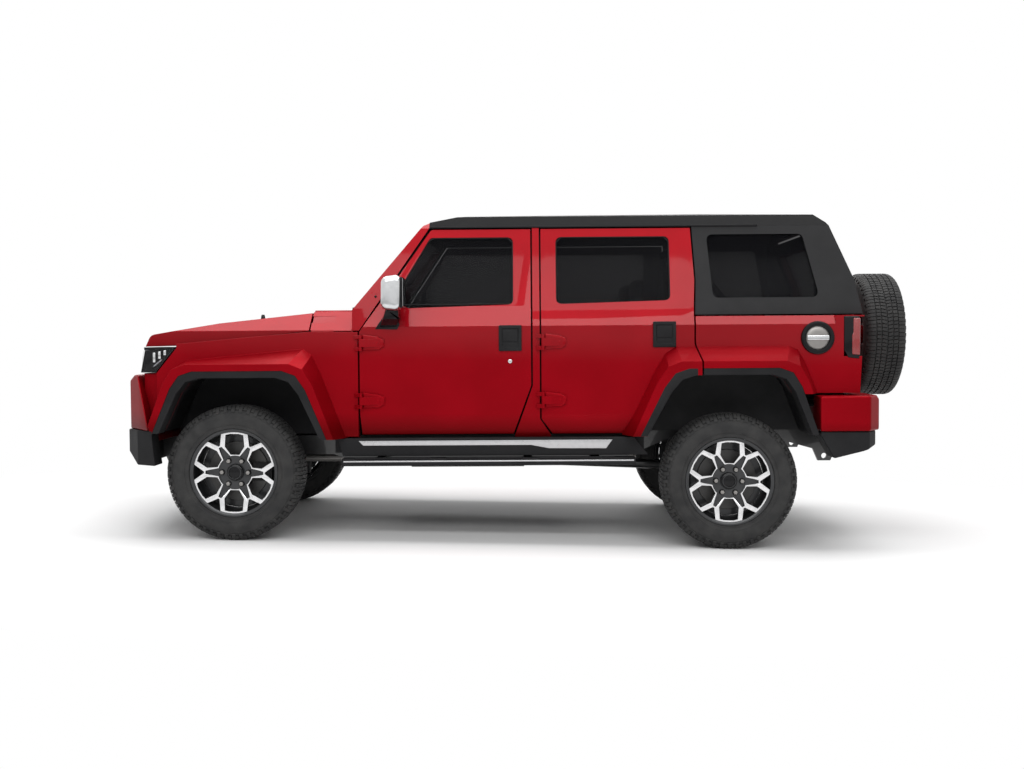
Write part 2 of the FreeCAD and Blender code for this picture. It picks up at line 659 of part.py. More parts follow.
def rear_axle():
    """The live axle: a tube to both hubs, its differential and the spring pads."""
    end = S.half_track - S.hub_depth - S.seat_clearance
    tube = rod("axle_tube", "y", -end, end, S.axle_tube_radius, (rear_axle_x, S.tyre_radius))
    case = rod("differential", "y", -S.diff_radius * 0.7, S.diff_radius * 0.7, S.diff_radius, (rear_axle_x, S.tyre_radius))
    nose = rod("pinion_nose", "x", rear_axle_x - S.diff_radius * 1.4, rear_axle_x, S.diff_radius / 2, (0, S.tyre_radius))
    flange = rod("axle_flange", "y", -end, -end + S.rim_wall, S.hub_radius, (rear_axle_x, S.tyre_radius))
    pad = rod("spring_pad", "z", S.tyre_radius, S.tyre_radius + S.axle_tube_radius + S.rim_wall,
              S.spring_radius, (rear_axle_x, spring_y))
    return fuse("axle", tube, case, nose, flange, mirror("flange_right", flange), pad, mirror("pad_right", pad))


subpart("rear_axle", rear_axle(), raked=False)

# Body shell


def rear_edge(low, high, forward=0):
    """The tail seen from the side, from a low height to a high one, moved forward by a margin."""
    corners = [(S.tail_x - forward, low)]
    if high.value > S.tail_belt_z.value:
        corners.append((S.tail_belt_x - forward, S.tail_belt_z))
        corners.append((S.tail_knee_x - forward, S.tail_knee_z))
        corners.append((S.tail_top_x - forward, high))
    else:
        corners.append((S.tail_belt_x - forward, high))
    return corners


door_back_x = rear_axle_x + S.rear_door_back
door_top_back_x = rear_axle_x + S.rear_door_top_back
door_hip_x = door_back_x + S.rear_door_hip
half_gap = S.gap / 2


def hinge_seat(name, edge_x, height):
    """The body's half of the hinge: two short barrels with a plate on the panel before the door."""
    pin_x, pin_y = edge_x + S.pin_back, -S.half_body - S.pin_out
    half = S.strap_height / 2
    pieces = []
    for stem, low in (("low", height - half * 2), ("high", height + half + S.knuckle_gap)):
        high = low + half - S.knuckle_gap
        barrel = rod(f"{name}_{stem}_barrel", "z", low, high, S.hinge_radius, (pin_x, pin_y))
        plate = [
            (pin_x, pin_y - S.hinge_radius), (edge_x - S.gap - S.hinge_radius * 2, -S.half_body - S.strap_thickness),
            (edge_x - S.gap - S.hinge_radius * 2, -S.half_body + S.skin / 4), (edge_x - S.gap, -S.half_body + S.skin / 4),
            (edge_x - S.gap, -S.half_body - S.hinge_radius / 2), (pin_x, pin_y + S.hinge_radius),
        ]
        pieces += [barrel, prism(f"{name}_{stem}_plate", "plan", plate, low, high)]
    return pieces


rear_edge_x = S.pillar_x + S.pillar_half + S.gap
tail_hinges = (("high", S.hinge_high_z), ("low", S.hinge_low_z + S.wall * 1.2))


def tail_seat(name, height):
    """The body's half of a tailgate hinge: a plate on the right tail post with a barrel at each end."""
    half = S.strap_height / 2
    pin_y = S.tailgate_half + S.tail_pin_out
    pieces = []
    for stem, low in (("low", height - half * 2), ("high", height + half + S.knuckle_gap)):
        high = low + half - S.knuckle_gap
        plate = [(S.tail_pin_x, pin_y - S.hinge_radius), (S.tail_pin_x + S.hinge_radius, pin_y),
                 (S.tail_pin_x + S.hinge_radius, pin_y + S.strap_height), (S.tail_x, pin_y + S.strap_height),
                 (S.tail_x, pin_y), (S.tail_pin_x - S.hinge_radius, pin_y)]
        pieces += [rod(f"{name}_{stem}_barrel", "z", low, high, S.hinge_radius, (S.tail_pin_x, pin_y)),
                   prism(f"{name}_{stem}_plate", "plan", plate, low, high)]
    return pieces


def rear_seam(gap):
    """The rear door's back edge from the sill up, moved rearwards by a gap."""
    top_x = door_back_x - S.rear_door_hip / 2 + gap
    return [(door_hip_x + gap, S.sill_z), (door_hip_x + gap, S.rear_door_hip_z), (top_x, S.flare_top_z),
            (top_x, S.roof_z)]


def body_shell():
    back = S.tail_x - S.tailgate_wall
    inner_half = S.half_body - S.wall + S.seat_clearance
    plate = S.floor_plate
    step_x = rear_axle_x + S.rear_arch_front
    load_z = S.rail_high_z + S.rail_depth + S.cross_radius * 2
    toe_x, fire_x = S.door_front_x - S.wall, S.door_front_x - S.wall * 2
    housing_half = S.rail_half + S.wall
    floor_line = [
        (fire_x, S.cowl_z - plate), (fire_x, S.tuck_z), (toe_x, S.sill_z), (step_x, S.sill_z),
        (step_x, S.sill_z + plate), (toe_x + plate, S.sill_z + plate), (fire_x + plate, S.tuck_z + plate),
        (fire_x + plate, S.cowl_z - plate),
    ]
    load_line = [
        (step_x - plate, S.sill_z), (step_x, S.sill_z), (step_x + S.wall, load_z), (back - S.gap, load_z),
        (back - S.gap, S.tail_low_z + 2), (back - S.gap - plate, S.tail_low_z + 2),
        (back - S.gap - plate, load_z + plate), (step_x + S.wall - plate, load_z + plate),
        (step_x - plate, S.sill_z + plate),
    ]
    floor = prism("floor", "side", floor_line, -inner_half, inner_half)
    load_floor = prism("load_floor", "side", load_line, -housing_half - 1, housing_half + 1)
    sill_panel = box("tail_sill", (back - S.gap - plate, -inner_half, load_z),
                     (back - S.gap, inner_half, S.tail_low_z + 2))
    near = S.liner_margin + S.liner + S.seat_clearance
    housing_low = S.sill_z + plate
    tunnel = prism("tunnel", "side", rear_arch(near + plate, housing_low) + rear_arch(near, housing_low)[::-1],
                   -inner_half, -housing_half)
    tunnel_side = prism("tunnel_side", "side", rear_arch(near + 1, housing_low), -housing_half - plate, -housing_half)
    cowl = [
        (S.cowl_x, S.cowl_z - plate * 2), (S.cowl_x, S.cowl_z),
        (S.screen_foot_x - S.seat_clearance, S.screen_foot_z),
        (S.screen_foot_x - S.seat_clearance, S.pillar_foot_z),
        (S.door_front_x - S.gap, S.pillar_foot_z), (S.door_front_x - S.gap, S.pillar_foot_z - plate * 3),
        (fire_x, S.pillar_foot_z - plate * 3), (fire_x, S.cowl_z - plate * 2),
    ]
    cowl_box = prism("cowl", "side", cowl, -S.half_belt + S.skin, S.half_belt - S.skin)
    cowl_side = prism("cowl_side", "side", [
        (S.cowl_x, S.bonnet_edge_z), (S.cowl_x, S.cowl_z), (S.screen_foot_x - S.wall / 2, S.cowl_z),
        (S.screen_foot_x - S.wall / 2, S.bonnet_edge_z)], -S.half_belt + S.skin, -S.half_belt + S.wall)
    fender_inner = S.half_body - S.fender_wall - S.seat_clearance
    hinge_post = box("hinge_post", (fire_x, -fender_inner, S.sill_z),
                     (S.door_front_x - S.gap, -inner_half + S.wall, S.pillar_foot_z))
    rocker = box("rocker", (fire_x, -S.half_body + S.wall, S.cladding_low_z + plate),
                 (step_x, -S.half_body + S.wall * 2, S.sill_z + plate))
    wall_full = wall_section("wall_full", 0, S.wall, S.frame_wall, fire_x, S.tail_belt_x)
    low_z = S.door_low_z - S.gap
    post = [
        (S.pillar_x - S.pillar_half, S.rail_z), (S.pillar_x - S.pillar_half, S.door_heel_z),
        (S.door_heel_x + S.gap * 2, low_z), (S.door_heel_x + S.gap * 2, S.sill_z),
        (S.rear_toe_x, S.sill_z), (S.rear_toe_x, low_z),
        (S.pillar_x + S.pillar_half, S.rear_toe_z), (S.pillar_x + S.pillar_half, S.rail_z),
    ]
    b_pillar = common("b_pillar", wall_section("wall_post", 0, S.wall, S.frame_wall, fire_x, S.tail_belt_x),
                      side_cut("post_outline", post))
    quarter = [
        (door_back_x - S.rear_door_hip / 2 + S.gap, S.tail_belt_z - S.gap),
        (door_back_x - S.rear_door_hip / 2 + S.gap, S.flare_top_z), (door_hip_x + S.gap, S.rear_door_hip_z),
        (door_hip_x + S.gap, S.tail_low_z),
        *rear_edge(S.tail_low_z, S.tail_belt_z - S.gap),
    ]
    side = common("quarter_side", wall_full, side_cut("quarter_outline", quarter))
    post_x = back - S.wall
    corner = prism("tail_post", "side", [
        (post_x, S.tail_low_z), *rear_edge(S.tail_low_z, S.tail_belt_z - S.gap), (post_x, S.tail_belt_z - S.gap)],
        -S.half_body, -S.tailgate_half - S.gap)
    arch_cut = prism("rear_arch_cut", "side", opening(rear_arch(0)), -S.half_flare, -S.rail_half)
    lamp_cut = box("lamp_cut", (S.lamp_x, -S.half_flare, S.lamp_low_z),
                   (S.tail_belt_x + S.gap, -S.half_body + S.lamp_width, S.lamp_high_z))
    rear_flare = flare("rear_flare_full", rear_axle_x + S.rear_flare_front, S.rear_arch_foot_z,
                       rear_axle_x + S.rear_flare_shoulder, S.flare_top_z, rear_axle_x + S.rear_flare_back_shoulder,
                       rear_axle_x + S.rear_flare_back, S.rear_flare_back_z, rear_arch(S.ridge_width),
                       rear_arch(S.trim_width))
    behind = prism("flare_behind", "side", rear_seam(S.gap) + [(S.tail_x, S.roof_z), (S.tail_x, S.sill_z)],
                   -S.half_flare, -S.rail_half)
    side_flare = common("quarter_flare", rear_flare, behind)
    bumper_cut = box("flare_bumper_cut", (rear_axle_x, -S.half_flare, S.sill_z - S.wall),
                     (S.tail_x, -S.rail_half, S.tail_low_z))
    quarter_panel = cut("quarter_panel", fuse("quarter_sum", side, corner, side_flare), arch_cut, lamp_cut,
                        bumper_cut)
    seats = [piece for stem, height in (("high", S.hinge_high_z), ("low", S.hinge_low_z))
             for piece in hinge_seat(f"pillar_seat_{stem}", rear_edge_x, height)]
    sides = [hinge_post, cowl_side, rocker, b_pillar, quarter_panel, tunnel, tunnel_side, *seats]
    others = [mirror(item.Name + "_right", item) for item in sides]
    others += [piece for stem, height in tail_hinges for piece in tail_seat(f"tail_seat_{stem}", height)]
    return fuse("shell", floor, load_floor, sill_panel, cowl_box, *sides, *others), rear_flare


shell, whole_rear_flare = body_shell()
subpart("body_shell", shell)

# Doors


def front_door_outline(step):
    """The front door seen from the side, its edges stepped in by a margin."""
    return [
        (S.door_toe_x + step, S.door_low_z + step), (S.door_front_x + step, S.door_toe_z),
        (S.door_front_x + step, S.pillar_foot_z - step / 2), (S.door_top_front_x + step, S.door_top_z - step, 20),
        (S.pillar_x - S.pillar_half - S.gap - step, S.door_top_z - step),
        (S.pillar_x - S.pillar_half - S.gap - step, S.door_heel_z),
        (S.door_heel_x - step, S.door_low_z + step),
    ]


def rear_door_outline(step):
    return [
        (S.rear_toe_x + S.gap + step, S.door_low_z + step), (S.pillar_x + S.pillar_half + S.gap + step, S.rear_toe_z + step),
        (S.pillar_x + S.pillar_half + S.gap + step, S.door_top_z - step),
        (door_top_back_x - step, S.door_top_z - step), (door_back_x - step, S.tail_knee_z),
        (door_back_x - S.rear_door_hip / 2 - step, S.tail_belt_z), (door_back_x - S.rear_door_hip / 2 - step, S.flare_top_z),
        (door_hip_x - step, S.rear_door_hip_z), (door_hip_x - step, S.door_low_z + step),
    ]


def front_window(margin):
    return [
        (S.front_window_x + margin, S.window_low_z - 18 + margin, S.window_radius),
        (S.front_window_x + margin, S.front_window_rise_z, S.window_radius),
        (S.front_window_top_x + margin, S.window_high_z - margin, S.window_radius),
        (S.front_window_back_x - margin, S.window_high_z - margin, S.window_radius),
        (S.front_window_back_x - margin, S.window_low_z + margin, S.window_radius),
    ]


def rear_window(margin):
    return [
        (S.rear_window_x + margin, S.window_low_z + margin, S.window_radius),
        (S.rear_window_x + margin, S.window_high_z - margin, S.window_radius),
        (S.rear_window_back_x - margin, S.window_high_z - margin, S.window_radius),
        (S.rear_window_back_x - margin, S.window_low_z + 18 + margin, S.window_radius),
    ]


def quarter_window(margin):
    return [
        (S.quarter_window_x + S.window_radius / 2 + margin, S.window_low_z + S.window_radius + margin, S.window_radius),
        (S.quarter_window_x - S.window_radius / 2 + margin, S.window_high_z + 8 - margin, S.window_radius),
        (S.quarter_window_top_back_x - margin, S.window_high_z + 8 - margin, S.window_radius),
        (S.quarter_window_back_x - margin, S.window_low_z + S.window_radius + margin, S.window_radius),
    ]


def hinge(name, edge_x, height):
    """The door's half of an outside hinge: a barrel on the pin and a strap on the skin."""
    pin_x, pin_y = edge_x + S.pin_back, -S.half_body - S.pin_out
    half = S.strap_height / 2
    barrel = rod(name + "_barrel", "z", height - half, height + half, S.hinge_radius, (pin_x, pin_y))
    strap = [
        (pin_x, pin_y - S.hinge_radius), (pin_x + S.strap_height, pin_y - S.hinge_radius),
        (pin_x + S.strap_length, -S.half_body - S.strap_thickness / 2),
        (pin_x + S.strap_length, -S.half_body + S.skin / 2), (pin_x + S.hinge_radius * 2, -S.half_body + S.skin / 2),
        (pin_x, pin_y + S.hinge_radius),
    ]
    plate = prism(name + "_strap", "plan", strap, height - half, height + half)
    return [barrel, plate]


def pull(name, x, z):
    """A door's square handle frame with its paddle, as (what stands out, what is cut in)."""
    face = -S.half_body - S.handle_out
    edge = S.handle_edge
    high, far = z + S.handle_height, x + S.handle_width
    frame_block = box(name + "_frame", (x, face, z), (far, -S.half_body + S.skin - 1, high))
    pocket = box(name + "_pocket", (x + edge, face - 1, z + edge), (far - edge, -S.half_body, high - edge))
    paddle = box(name + "_paddle", (x + edge - 1, face + S.liner / 2, z + edge + S.handle_height / 4),
                 (far - edge + 1, -S.half_body + 1, high - edge * 2))
    return cut(name + "_ring", frame_block, pocket), paddle


def door(name, make_outline, window, edge_x, pull_place, extra=()):
    """A door: a skin, a stepped inner half, a window hole and two outside hinges."""
    start, end = S.door_front_x - S.wall, S.tail_belt_x
    skin = common(name + "_skin", wall_section(name + "_skin_wall", 0, S.skin, S.skin, start, end),
                  side_cut(name + "_skin_outline", make_outline(as_size(0))))
    core = common(name + "_core", wall_section(name + "_core_wall", S.skin - 1, S.wall, S.frame_wall, start, end),
                  side_cut(name + "_core_outline", make_outline(S.edge_step)))
    hinges = [piece for stem, height in (("high", S.hinge_high_z), ("low", S.hinge_low_z))
              for piece in hinge(f"{name}_{stem}", edge_x, height)]
    holes = [side_cut(name + "_window", window(as_size(0)))]
    if extra:
        housing = rear_arch(S.liner_margin + S.liner + S.floor_plate + S.gap)
        holes += [prism(name + "_arch", "side", opening(rear_arch(0)), -S.half_flare - S.wall, -S.rail_half),
                  prism(name + "_housing", "side", opening(housing), S.wall - S.half_body - S.gap, -S.rail_half)]
    return cut(name, fuse(name + "_sum", skin, core, *extra, *hinges, *pull(name + "_pull", *pull_place)), *holes)


def pane(name, window, start, end):
    """Side glass in the middle of its frame."""
    sheet_wall = wall_section(name + "_wall", S.glass_depth, S.glass_depth + S.glass, S.glass_depth + S.glass,
                              start, end)
    return common(name, sheet_wall, side_cut(name + "_edge", window(S.seat_clearance)))


ahead = prism("flare_ahead", "side", [
    (S.rear_toe_x, S.sill_z), *rear_seam(as_size(0)), (S.rear_toe_x, S.roof_z)],
    -S.half_flare, -S.rail_half)
door_flare = common("door_flare", whole_rear_flare, ahead)
door_trim = common("door_trim", prism("door_trim_full", "side", rear_arch(S.trim_width) + rear_arch(0)[::-1],
                                      -S.half_flare, -S.half_body + S.skin), ahead)
left_right("door_front", door("front_door", front_door_outline, front_window, S.door_front_x,
                              (S.front_pull_x, S.front_pull_z)))
left_right("door_rear", door("rear_door", rear_door_outline, rear_window, rear_edge_x,
                             (S.rear_pull_x, S.rear_pull_z), (door_flare, door_trim)))
left_right("door_glass_front", pane("front_pane", front_window, S.door_front_x, S.pillar_x))
left_right("door_glass_rear", pane("rear_pane", rear_window, S.pillar_x, rear_axle_x))


def mirror_left():
    """A door mirror: a housing on a short arm that stands on the door."""
    out = S.mirror_out
    housing = [
        (S.mirror_x, S.mirror_z, 20), (S.mirror_x, S.mirror_z + S.mirror_height * 0.8, 40),
        (S.mirror_x + S.mirror_depth * 0.5, S.mirror_z + S.mirror_height, 20),
        (S.mirror_x + S.mirror_depth, S.mirror_z + S.mirror_height, 10), (S.mirror_x + S.mirror_depth, S.mirror_z, 10),
    ]
    shell_block = prism("mirror_housing", "side", housing, -out - S.mirror_width, -out)
    arm = [
        (S.mirror_x - S.mirror_depth * 0.5, S.crease_z - S.wall / 4, 10), (S.mirror_x + S.mirror_depth * 0.2, S.mirror_z + 20),
        (S.mirror_x + S.mirror_depth * 0.8, S.mirror_z + 20), (S.mirror_x + S.mirror_depth * 0.5, S.crease_z - S.wall / 4, 10),
    ]
    stalk = prism("mirror_arm", "side", arm, -out - S.mirror_width / 4, -S.half_body - S.seat_clearance)
    return fuse("mirror_left_sum", shell_block, stalk)


left_right("mirror", mirror_left())

# Front fenders with their flares


def front_fender():
    shoulder_x = S.front_axle_x + S.flare_front_shoulder
    lamp_foot_x = S.lamp_face_x + S.lamp_width + S.gap
    edge = [
        (S.door_front_x - S.gap, S.door_low_z - S.gap), (S.door_front_x - S.gap, S.pillar_foot_z),
        (S.cowl_x, S.bonnet_edge_z - S.gap), (S.lamp_back_x, S.bonnet_edge_front_z),
        (S.lamp_back_x, S.bonnet_tip_z - S.gap), (lamp_foot_x, S.lamp_low_front_z),
        (lamp_foot_x, S.lamp_low_front_z - S.skin),
        (S.front_axle_x + S.front_arch_front - S.trim_width, S.bumper_low_z),
        (S.front_axle_x, S.bumper_low_z), (S.front_axle_x, S.door_low_z - S.gap),
    ]
    panel = prism("fender_panel", "side", edge, -S.half_body, -S.half_body + S.fender_wall)
    wing = flare("front_flare", S.front_axle_x + S.flare_front, S.front_arch_front_z, shoulder_x,
                 S.flare_front_shoulder_z, S.front_axle_x + S.flare_back_shoulder, S.front_axle_x + S.flare_back,
                 S.front_arch_back_z, front_arch(S.ridge_width), front_arch(S.trim_width))
    wheel_cut = prism("fender_arch", "side", opening(front_arch(0)), -S.half_flare, -S.rail_half)
    seats = [piece for stem, height in (("high", S.hinge_high_z), ("low", S.hinge_low_z))
             for piece in hinge_seat(f"front_seat_{stem}", S.door_front_x, height)]
    trim_x = S.front_axle_x + S.front_arch_front - S.trim_width
    ahead = prism("fender_ahead", "side", [
        (S.lamp_face_x + S.gap, S.lamp_low_front_z), (S.bumper_back_x + S.gap, S.bumper_low_z),
        (trim_x, S.bumper_low_z), (trim_x, S.valance_low_z), (S.guard_x, S.valance_low_z),
        (S.guard_x, S.lamp_low_front_z)], -S.half_flare, -S.rail_half)
    return cut("fender", fuse("fender_sum", panel, wing, *seats), wheel_cut, ahead)


subpart("front_fenders", pair("fenders", front_fender()))

trim_base = -S.half_body - S.seat_clearance
front_trim = prism("front_trim", "side", front_arch(S.trim_width - S.seat_clearance) + front_arch(0)[::-1],
                   -S.half_flare, trim_base)
rear_trim = common("rear_trim", prism("rear_trim_full", "side", rear_arch(S.trim_width - S.seat_clearance)
                                      + rear_arch(0)[::-1], -S.half_flare, trim_base),
                   prism("trim_behind", "side", [
                       (door_hip_x + S.gap, S.sill_z), (door_hip_x + S.gap, S.roof_z), (S.tail_x, S.roof_z),
                       (S.tail_x, S.sill_z)], -S.half_flare, -S.rail_half))
subpart("arch_trims", group("trims", front_trim, mirror("front_trim_right", front_trim), rear_trim,
                            mirror("rear_trim_right", rear_trim)))

# Hard top and windscreen


def roof_section(name, depth, start, end):
    """The whole upper body across the vehicle, at a depth below its skin, drawn out lengthwise."""
    low = S.tail_belt_z - S.wall
    right = [
        (S.half_belt - depth + S.gap * 2, low), (S.half_belt - depth, S.belt_z), (S.half_rail - depth, S.rail_z),
        (S.half_rail - S.roof_shoulder - depth, S.roof_shoulder_z - depth),
        (S.half_rail / 2 - depth / 2, S.roof_z - depth),
    ]
    left = [(-half, height) for half, height in right]
    return prism(name, "across", right + left[::-1], start, end)


def hardtop():
    front_x = S.door_top_front_x - S.gap * 1.4 + S.seat_clearance
    rail = S.rail_z + S.seat_clearance
    top_line = [
        (S.tail_top_x - S.gap, rail), (S.tail_top_x - S.skin, S.rail_z + S.skin), (S.tail_top_x - S.wall, S.roof_shoulder_z),
        (S.quarter_window_x, S.roof_z), (S.pillar_x, S.roof_z - S.skin / 2),
        (S.front_axle_x + S.wheelbase / 2 - S.wall, S.roof_z - S.skin), (front_x, S.screen_top_z + S.skin),
    ]
    side = [
        (front_x, rail), (door_top_back_x + S.gap, rail), (door_back_x + S.gap, S.tail_knee_z),
        (door_back_x + S.gap - S.rear_door_hip / 2, S.tail_belt_z), (S.tail_belt_x, S.tail_belt_z),
        (S.tail_knee_x, S.tail_knee_z), *top_line,
    ]
    outer = common("top_outer", roof_section("top_section", as_size(0), front_x, S.tail_belt_x),
                   prism("top_side", "side", side, -S.half_belt - S.wall, S.half_belt + S.wall))
    hollow_end = S.tail_top_x - S.wall
    under = [(x, z - S.roof_wall) for x, z in top_line[2:-1]]
    under_line = [
        (hollow_end, S.tail_belt_z - S.gap), (hollow_end, S.roof_shoulder_z - S.roof_wall), *under[1:],
        (front_x - S.gap, S.screen_top_z + S.skin - S.roof_wall), (front_x - S.gap, S.tail_belt_z - S.gap),
    ]
    hollow = common("top_room", roof_section("top_hollow", S.frame_wall / 2 + S.roof_wall / 2, front_x - S.gap, hollow_end),
                    prism("top_under", "side", under_line, -S.half_belt, S.half_belt))
    through = prism("top_through", "across", [
        (-S.tailgate_half - S.gap, S.tail_belt_z - S.gap), (-S.tailgate_half - S.gap, rail + S.gap / 2),
        (S.tailgate_half + S.gap, rail + S.gap / 2), (S.tailgate_half + S.gap, S.tail_belt_z - S.gap)],
        hollow_end - S.wall, S.tail_belt_x + S.gap)
    windows = prism("top_windows", "side", quarter_window(as_size(0)), -S.half_body, S.half_body)
    return cut("top", outer, hollow, through, windows)


subpart("hardtop", hardtop())
quarter_pane = common("quarter_pane", wall_section("quarter_pane_wall", S.glass_depth, S.glass_depth + S.glass,
                                                   S.glass_depth + S.glass, rear_axle_x - S.wheelbase / 8, S.tail_x),
                      side_cut("quarter_pane_edge", quarter_window(S.seat_clearance)))
subpart("quarter_glass", pair("quarter_panes", quarter_pane))


def slope(share, depth):
    """A point on the windscreen's slope: a share of the way up, at a depth behind its face."""
    lean_x = S.screen_top_x - S.screen_foot_x
    lean_z = S.screen_top_z - S.screen_foot_z
    length = math.hypot(lean_x.value, lean_z.value)
    return (S.screen_foot_x + lean_x * share + lean_z / length * depth,
            S.screen_foot_z + lean_z * share - lean_x / length * depth)


def windscreen():
    """The slanted frame on the cowl, and its glass."""
    front_high = slope(1, 0)
    edge = [
        slope(0, 0), front_high, (S.door_top_front_x - S.gap * 1.4, S.screen_top_z + S.skin * 0.8),
        (S.door_top_front_x - S.gap * 1.4, S.rail_z - S.seat_clearance),
        (S.door_front_x - S.gap * 1.1, S.pillar_foot_z + S.seat_clearance), (S.screen_foot_x, S.pillar_foot_z + S.seat_clearance),
    ]
    frame = common("screen_block", prism("screen_side", "side", edge, -S.half_belt - S.wall, S.half_belt + S.wall),
                   roof_section("screen_section", as_size(0), S.cowl_x, S.door_front_x + S.wheelbase / 5))
    length = math.hypot((S.screen_top_x - S.screen_foot_x).value, (S.screen_top_z - S.screen_foot_z).value)
    foot, head = S.screen_border / length, 1 - S.screen_border * 0.7 / length
    reach = S.wall * 3
    hole = prism("screen_hole", "side", [slope(foot, -reach), slope(head, -reach), slope(head, reach),
                                         slope(foot, reach)], -S.screen_half, S.screen_half)
    edge_gap = S.seat_clearance / length
    near, far = S.glass_depth, S.glass_depth + S.glass
    glass = prism("screen_pane", "side", [
        slope(foot + edge_gap, near), slope(head - edge_gap, near), slope(head - edge_gap, far),
        slope(foot + edge_gap, far)], S.seat_clearance - S.screen_half, S.screen_half - S.seat_clearance)
    return cut("screen_frame", frame, hole), glass


screen_frame, screen_glass = windscreen()
subpart("windscreen_frame", screen_frame)
subpart("windscreen_glass", screen_glass)

# Bonnet, grille and lamps


def bonnet():
    """A pressed panel: a crowned outer form with the same form taken out from below."""
    pieces = []
    for stem, depth in (("outer", as_size(0)), ("inner", S.bonnet_wall)):
        side = [
            (S.cowl_x - S.gap, S.cowl_z - depth - S.skin / 4), (S.bonnet_mid_x, S.bonnet_mid_z - depth),
            (S.bonnet_brow_x + depth, S.bonnet_brow_z - depth, 40), (S.nose_x + depth, S.bonnet_tip_z - depth / 4),
            (S.lamp_back_x, S.bonnet_edge_front_z - S.gap - depth / 2),
            (S.cowl_x - S.gap, S.bonnet_edge_z - S.gap / 2 - depth / 2),
        ]
        low = S.bonnet_tip_z - S.wall * 2
        across = [
            (S.bonnet_half - depth, low), (S.bonnet_half - depth, S.bonnet_edge_z - depth),
            (S.bonnet_shoulder - depth, S.cowl_z - depth / 2 - S.skin / 4), (depth - S.bonnet_shoulder, S.cowl_z - depth / 2 - S.skin / 4),
            (depth - S.bonnet_half, S.bonnet_edge_z - depth), (depth - S.bonnet_half, low),
        ]
        pieces.append(common(f"bonnet_{stem}", prism(f"bonnet_{stem}_side", "side", side, -S.half_body, S.half_body),
                             prism(f"bonnet_{stem}_across", "across", across, S.nose_x - S.wall, S.cowl_x)))
    return cut("bonnet_shell", *pieces)


subpart("bonnet", bonnet())


def grille():
    """The upright nose panel between the lamps, with a row of open slots."""
    face = S.nose_x + S.skin
    low, high = S.lamp_low_front_z, S.bonnet_tip_z - S.gap * 2
    panel = box("grille_panel", (face, -S.grille_half, low), (face + S.wall / 2, S.grille_half, high))
    slots = []
    count = 6
    width = S.grille_half * 2 / count
    for index in range(count):
        start = width * index - S.grille_half + S.grille_bar
        slots.append(box(f"grille_slot_{index}", (face - S.gap, start, low + S.grille_bar * 1.5),
                         (face + S.wall, start + width - S.grille_bar * 2, high - S.grille_bar * 1.5)))
    return cut("grille_cut", panel, *slots)


subpart("grille", grille())


def headlamp():
    """The left lamp: it wraps round the corner from the grille to the fender."""
    low, high = S.lamp_low_front_z, S.bonnet_tip_z - S.gap * 2
    inner = -S.grille_half - S.seat_clearance
    side = [
        (S.lamp_face_x, low, 10), (S.nose_x + S.gap, high, 10), (S.lamp_back_x - S.gap, high + S.gap),
        (S.lamp_face_x + S.lamp_width, low),
    ]
    block = prism("lamp_block", "side", side, -S.half_body + S.gap, inner)
    plan = [(S.nose_x + S.skin, inner), (S.lamp_back_x, inner), (S.lamp_back_x, -S.half_body + S.gap / 2),
            (S.lamp_face_x + S.skin, -S.half_body + S.gap / 2, 20), (S.lamp_face_x, -S.half_body + S.wall)]
    return common("lamp", block, prism("lamp_plan", "plan", plan, low - S.gap, S.cowl_z))


subpart("headlamps", pair("lamps", headlamp()))
carrier_low = S.rail_low_z + S.rail_depth * 4 / 3
carrier = box("nose_carrier", (S.frame_front_x, -S.rail_half * 1.7, carrier_low + S.seat_clearance),
              (S.frame_front_x + S.wall, S.rail_half * 1.7, S.lamp_low_front_z - S.seat_clearance))
core = box("radiator_core", (S.frame_front_x + S.wall + S.seat_clearance, -S.rail_half * 0.8, carrier_low + S.seat_clearance),
           (S.frame_front_x + S.wall * 2, S.rail_half * 0.8, S.bonnet_tip_z - S.wall))
window_low = carrier_low + S.wall
carrier_hole = box("carrier_hole", (S.frame_front_x - S.gap, -S.rail_half * 0.7, window_low),
                   (S.frame_front_x + S.wall * 2, S.rail_half * 0.7, S.lamp_low_front_z - S.wall / 2))
subpart("nose_panel", cut("nose_panel_cut", carrier, carrier_hole))
subpart("radiator", core)

# Bumpers


def front_bumper():
    """The painted bumper: a bowed cover whose ends run back to the flares."""
    high = S.lamp_low_front_z - S.gap
    side = [
        (S.lamp_face_x, high), (S.lamp_face_x - S.wall / 2, high), (S.bumper_x - S.bumper_crown / 2, high - S.wall * 0.8),
        (S.bumper_x - S.bumper_crown / 2, S.tuck_z + S.wall), (S.bumper_x, S.bumper_low_z),
        (S.bumper_back_x, S.bumper_low_z),
    ]
    beam = prism("bumper_side", "side", side, -S.half_flare + S.gap, S.half_flare - S.gap)
    room = box("bumper_room", (S.frame_front_x - S.seat_clearance, -S.rail_half * 1.7 - S.seat_clearance, S.sill_z),
               (S.bumper_back_x + S.gap, S.rail_half * 1.7 + S.seat_clearance, S.cowl_z))
    intake = box("bumper_intake", (S.bumper_x - S.wall * 2, -S.grille_half * 0.9, S.tuck_z - S.wall / 2),
                 (S.bumper_back_x + S.gap, S.grille_half * 0.9, S.tuck_z + S.wall))
    plan = prism("bumper_plan", "plan", nose_bow(S.bumper_x, S.bumper_back_x, S.half_flare - S.gap), S.sill_z, S.cowl_z)
    return cut("bumper_cover", common("bumper_form", beam, plan), room, intake)


def nose_bow(corner_x, back_x, half):
    """Half the nose seen from above: nearly straight at the middle and swept back at its corners."""
    side = [(corner_x - S.bumper_crown / 2, S.grille_half * 0.6), (corner_x, S.rail_half * 1.55),
            (corner_x + S.wall * 1.2, S.half_body + S.skin), (back_x, half)]
    return side + [(x, -y) for x, y in side[::-1]]


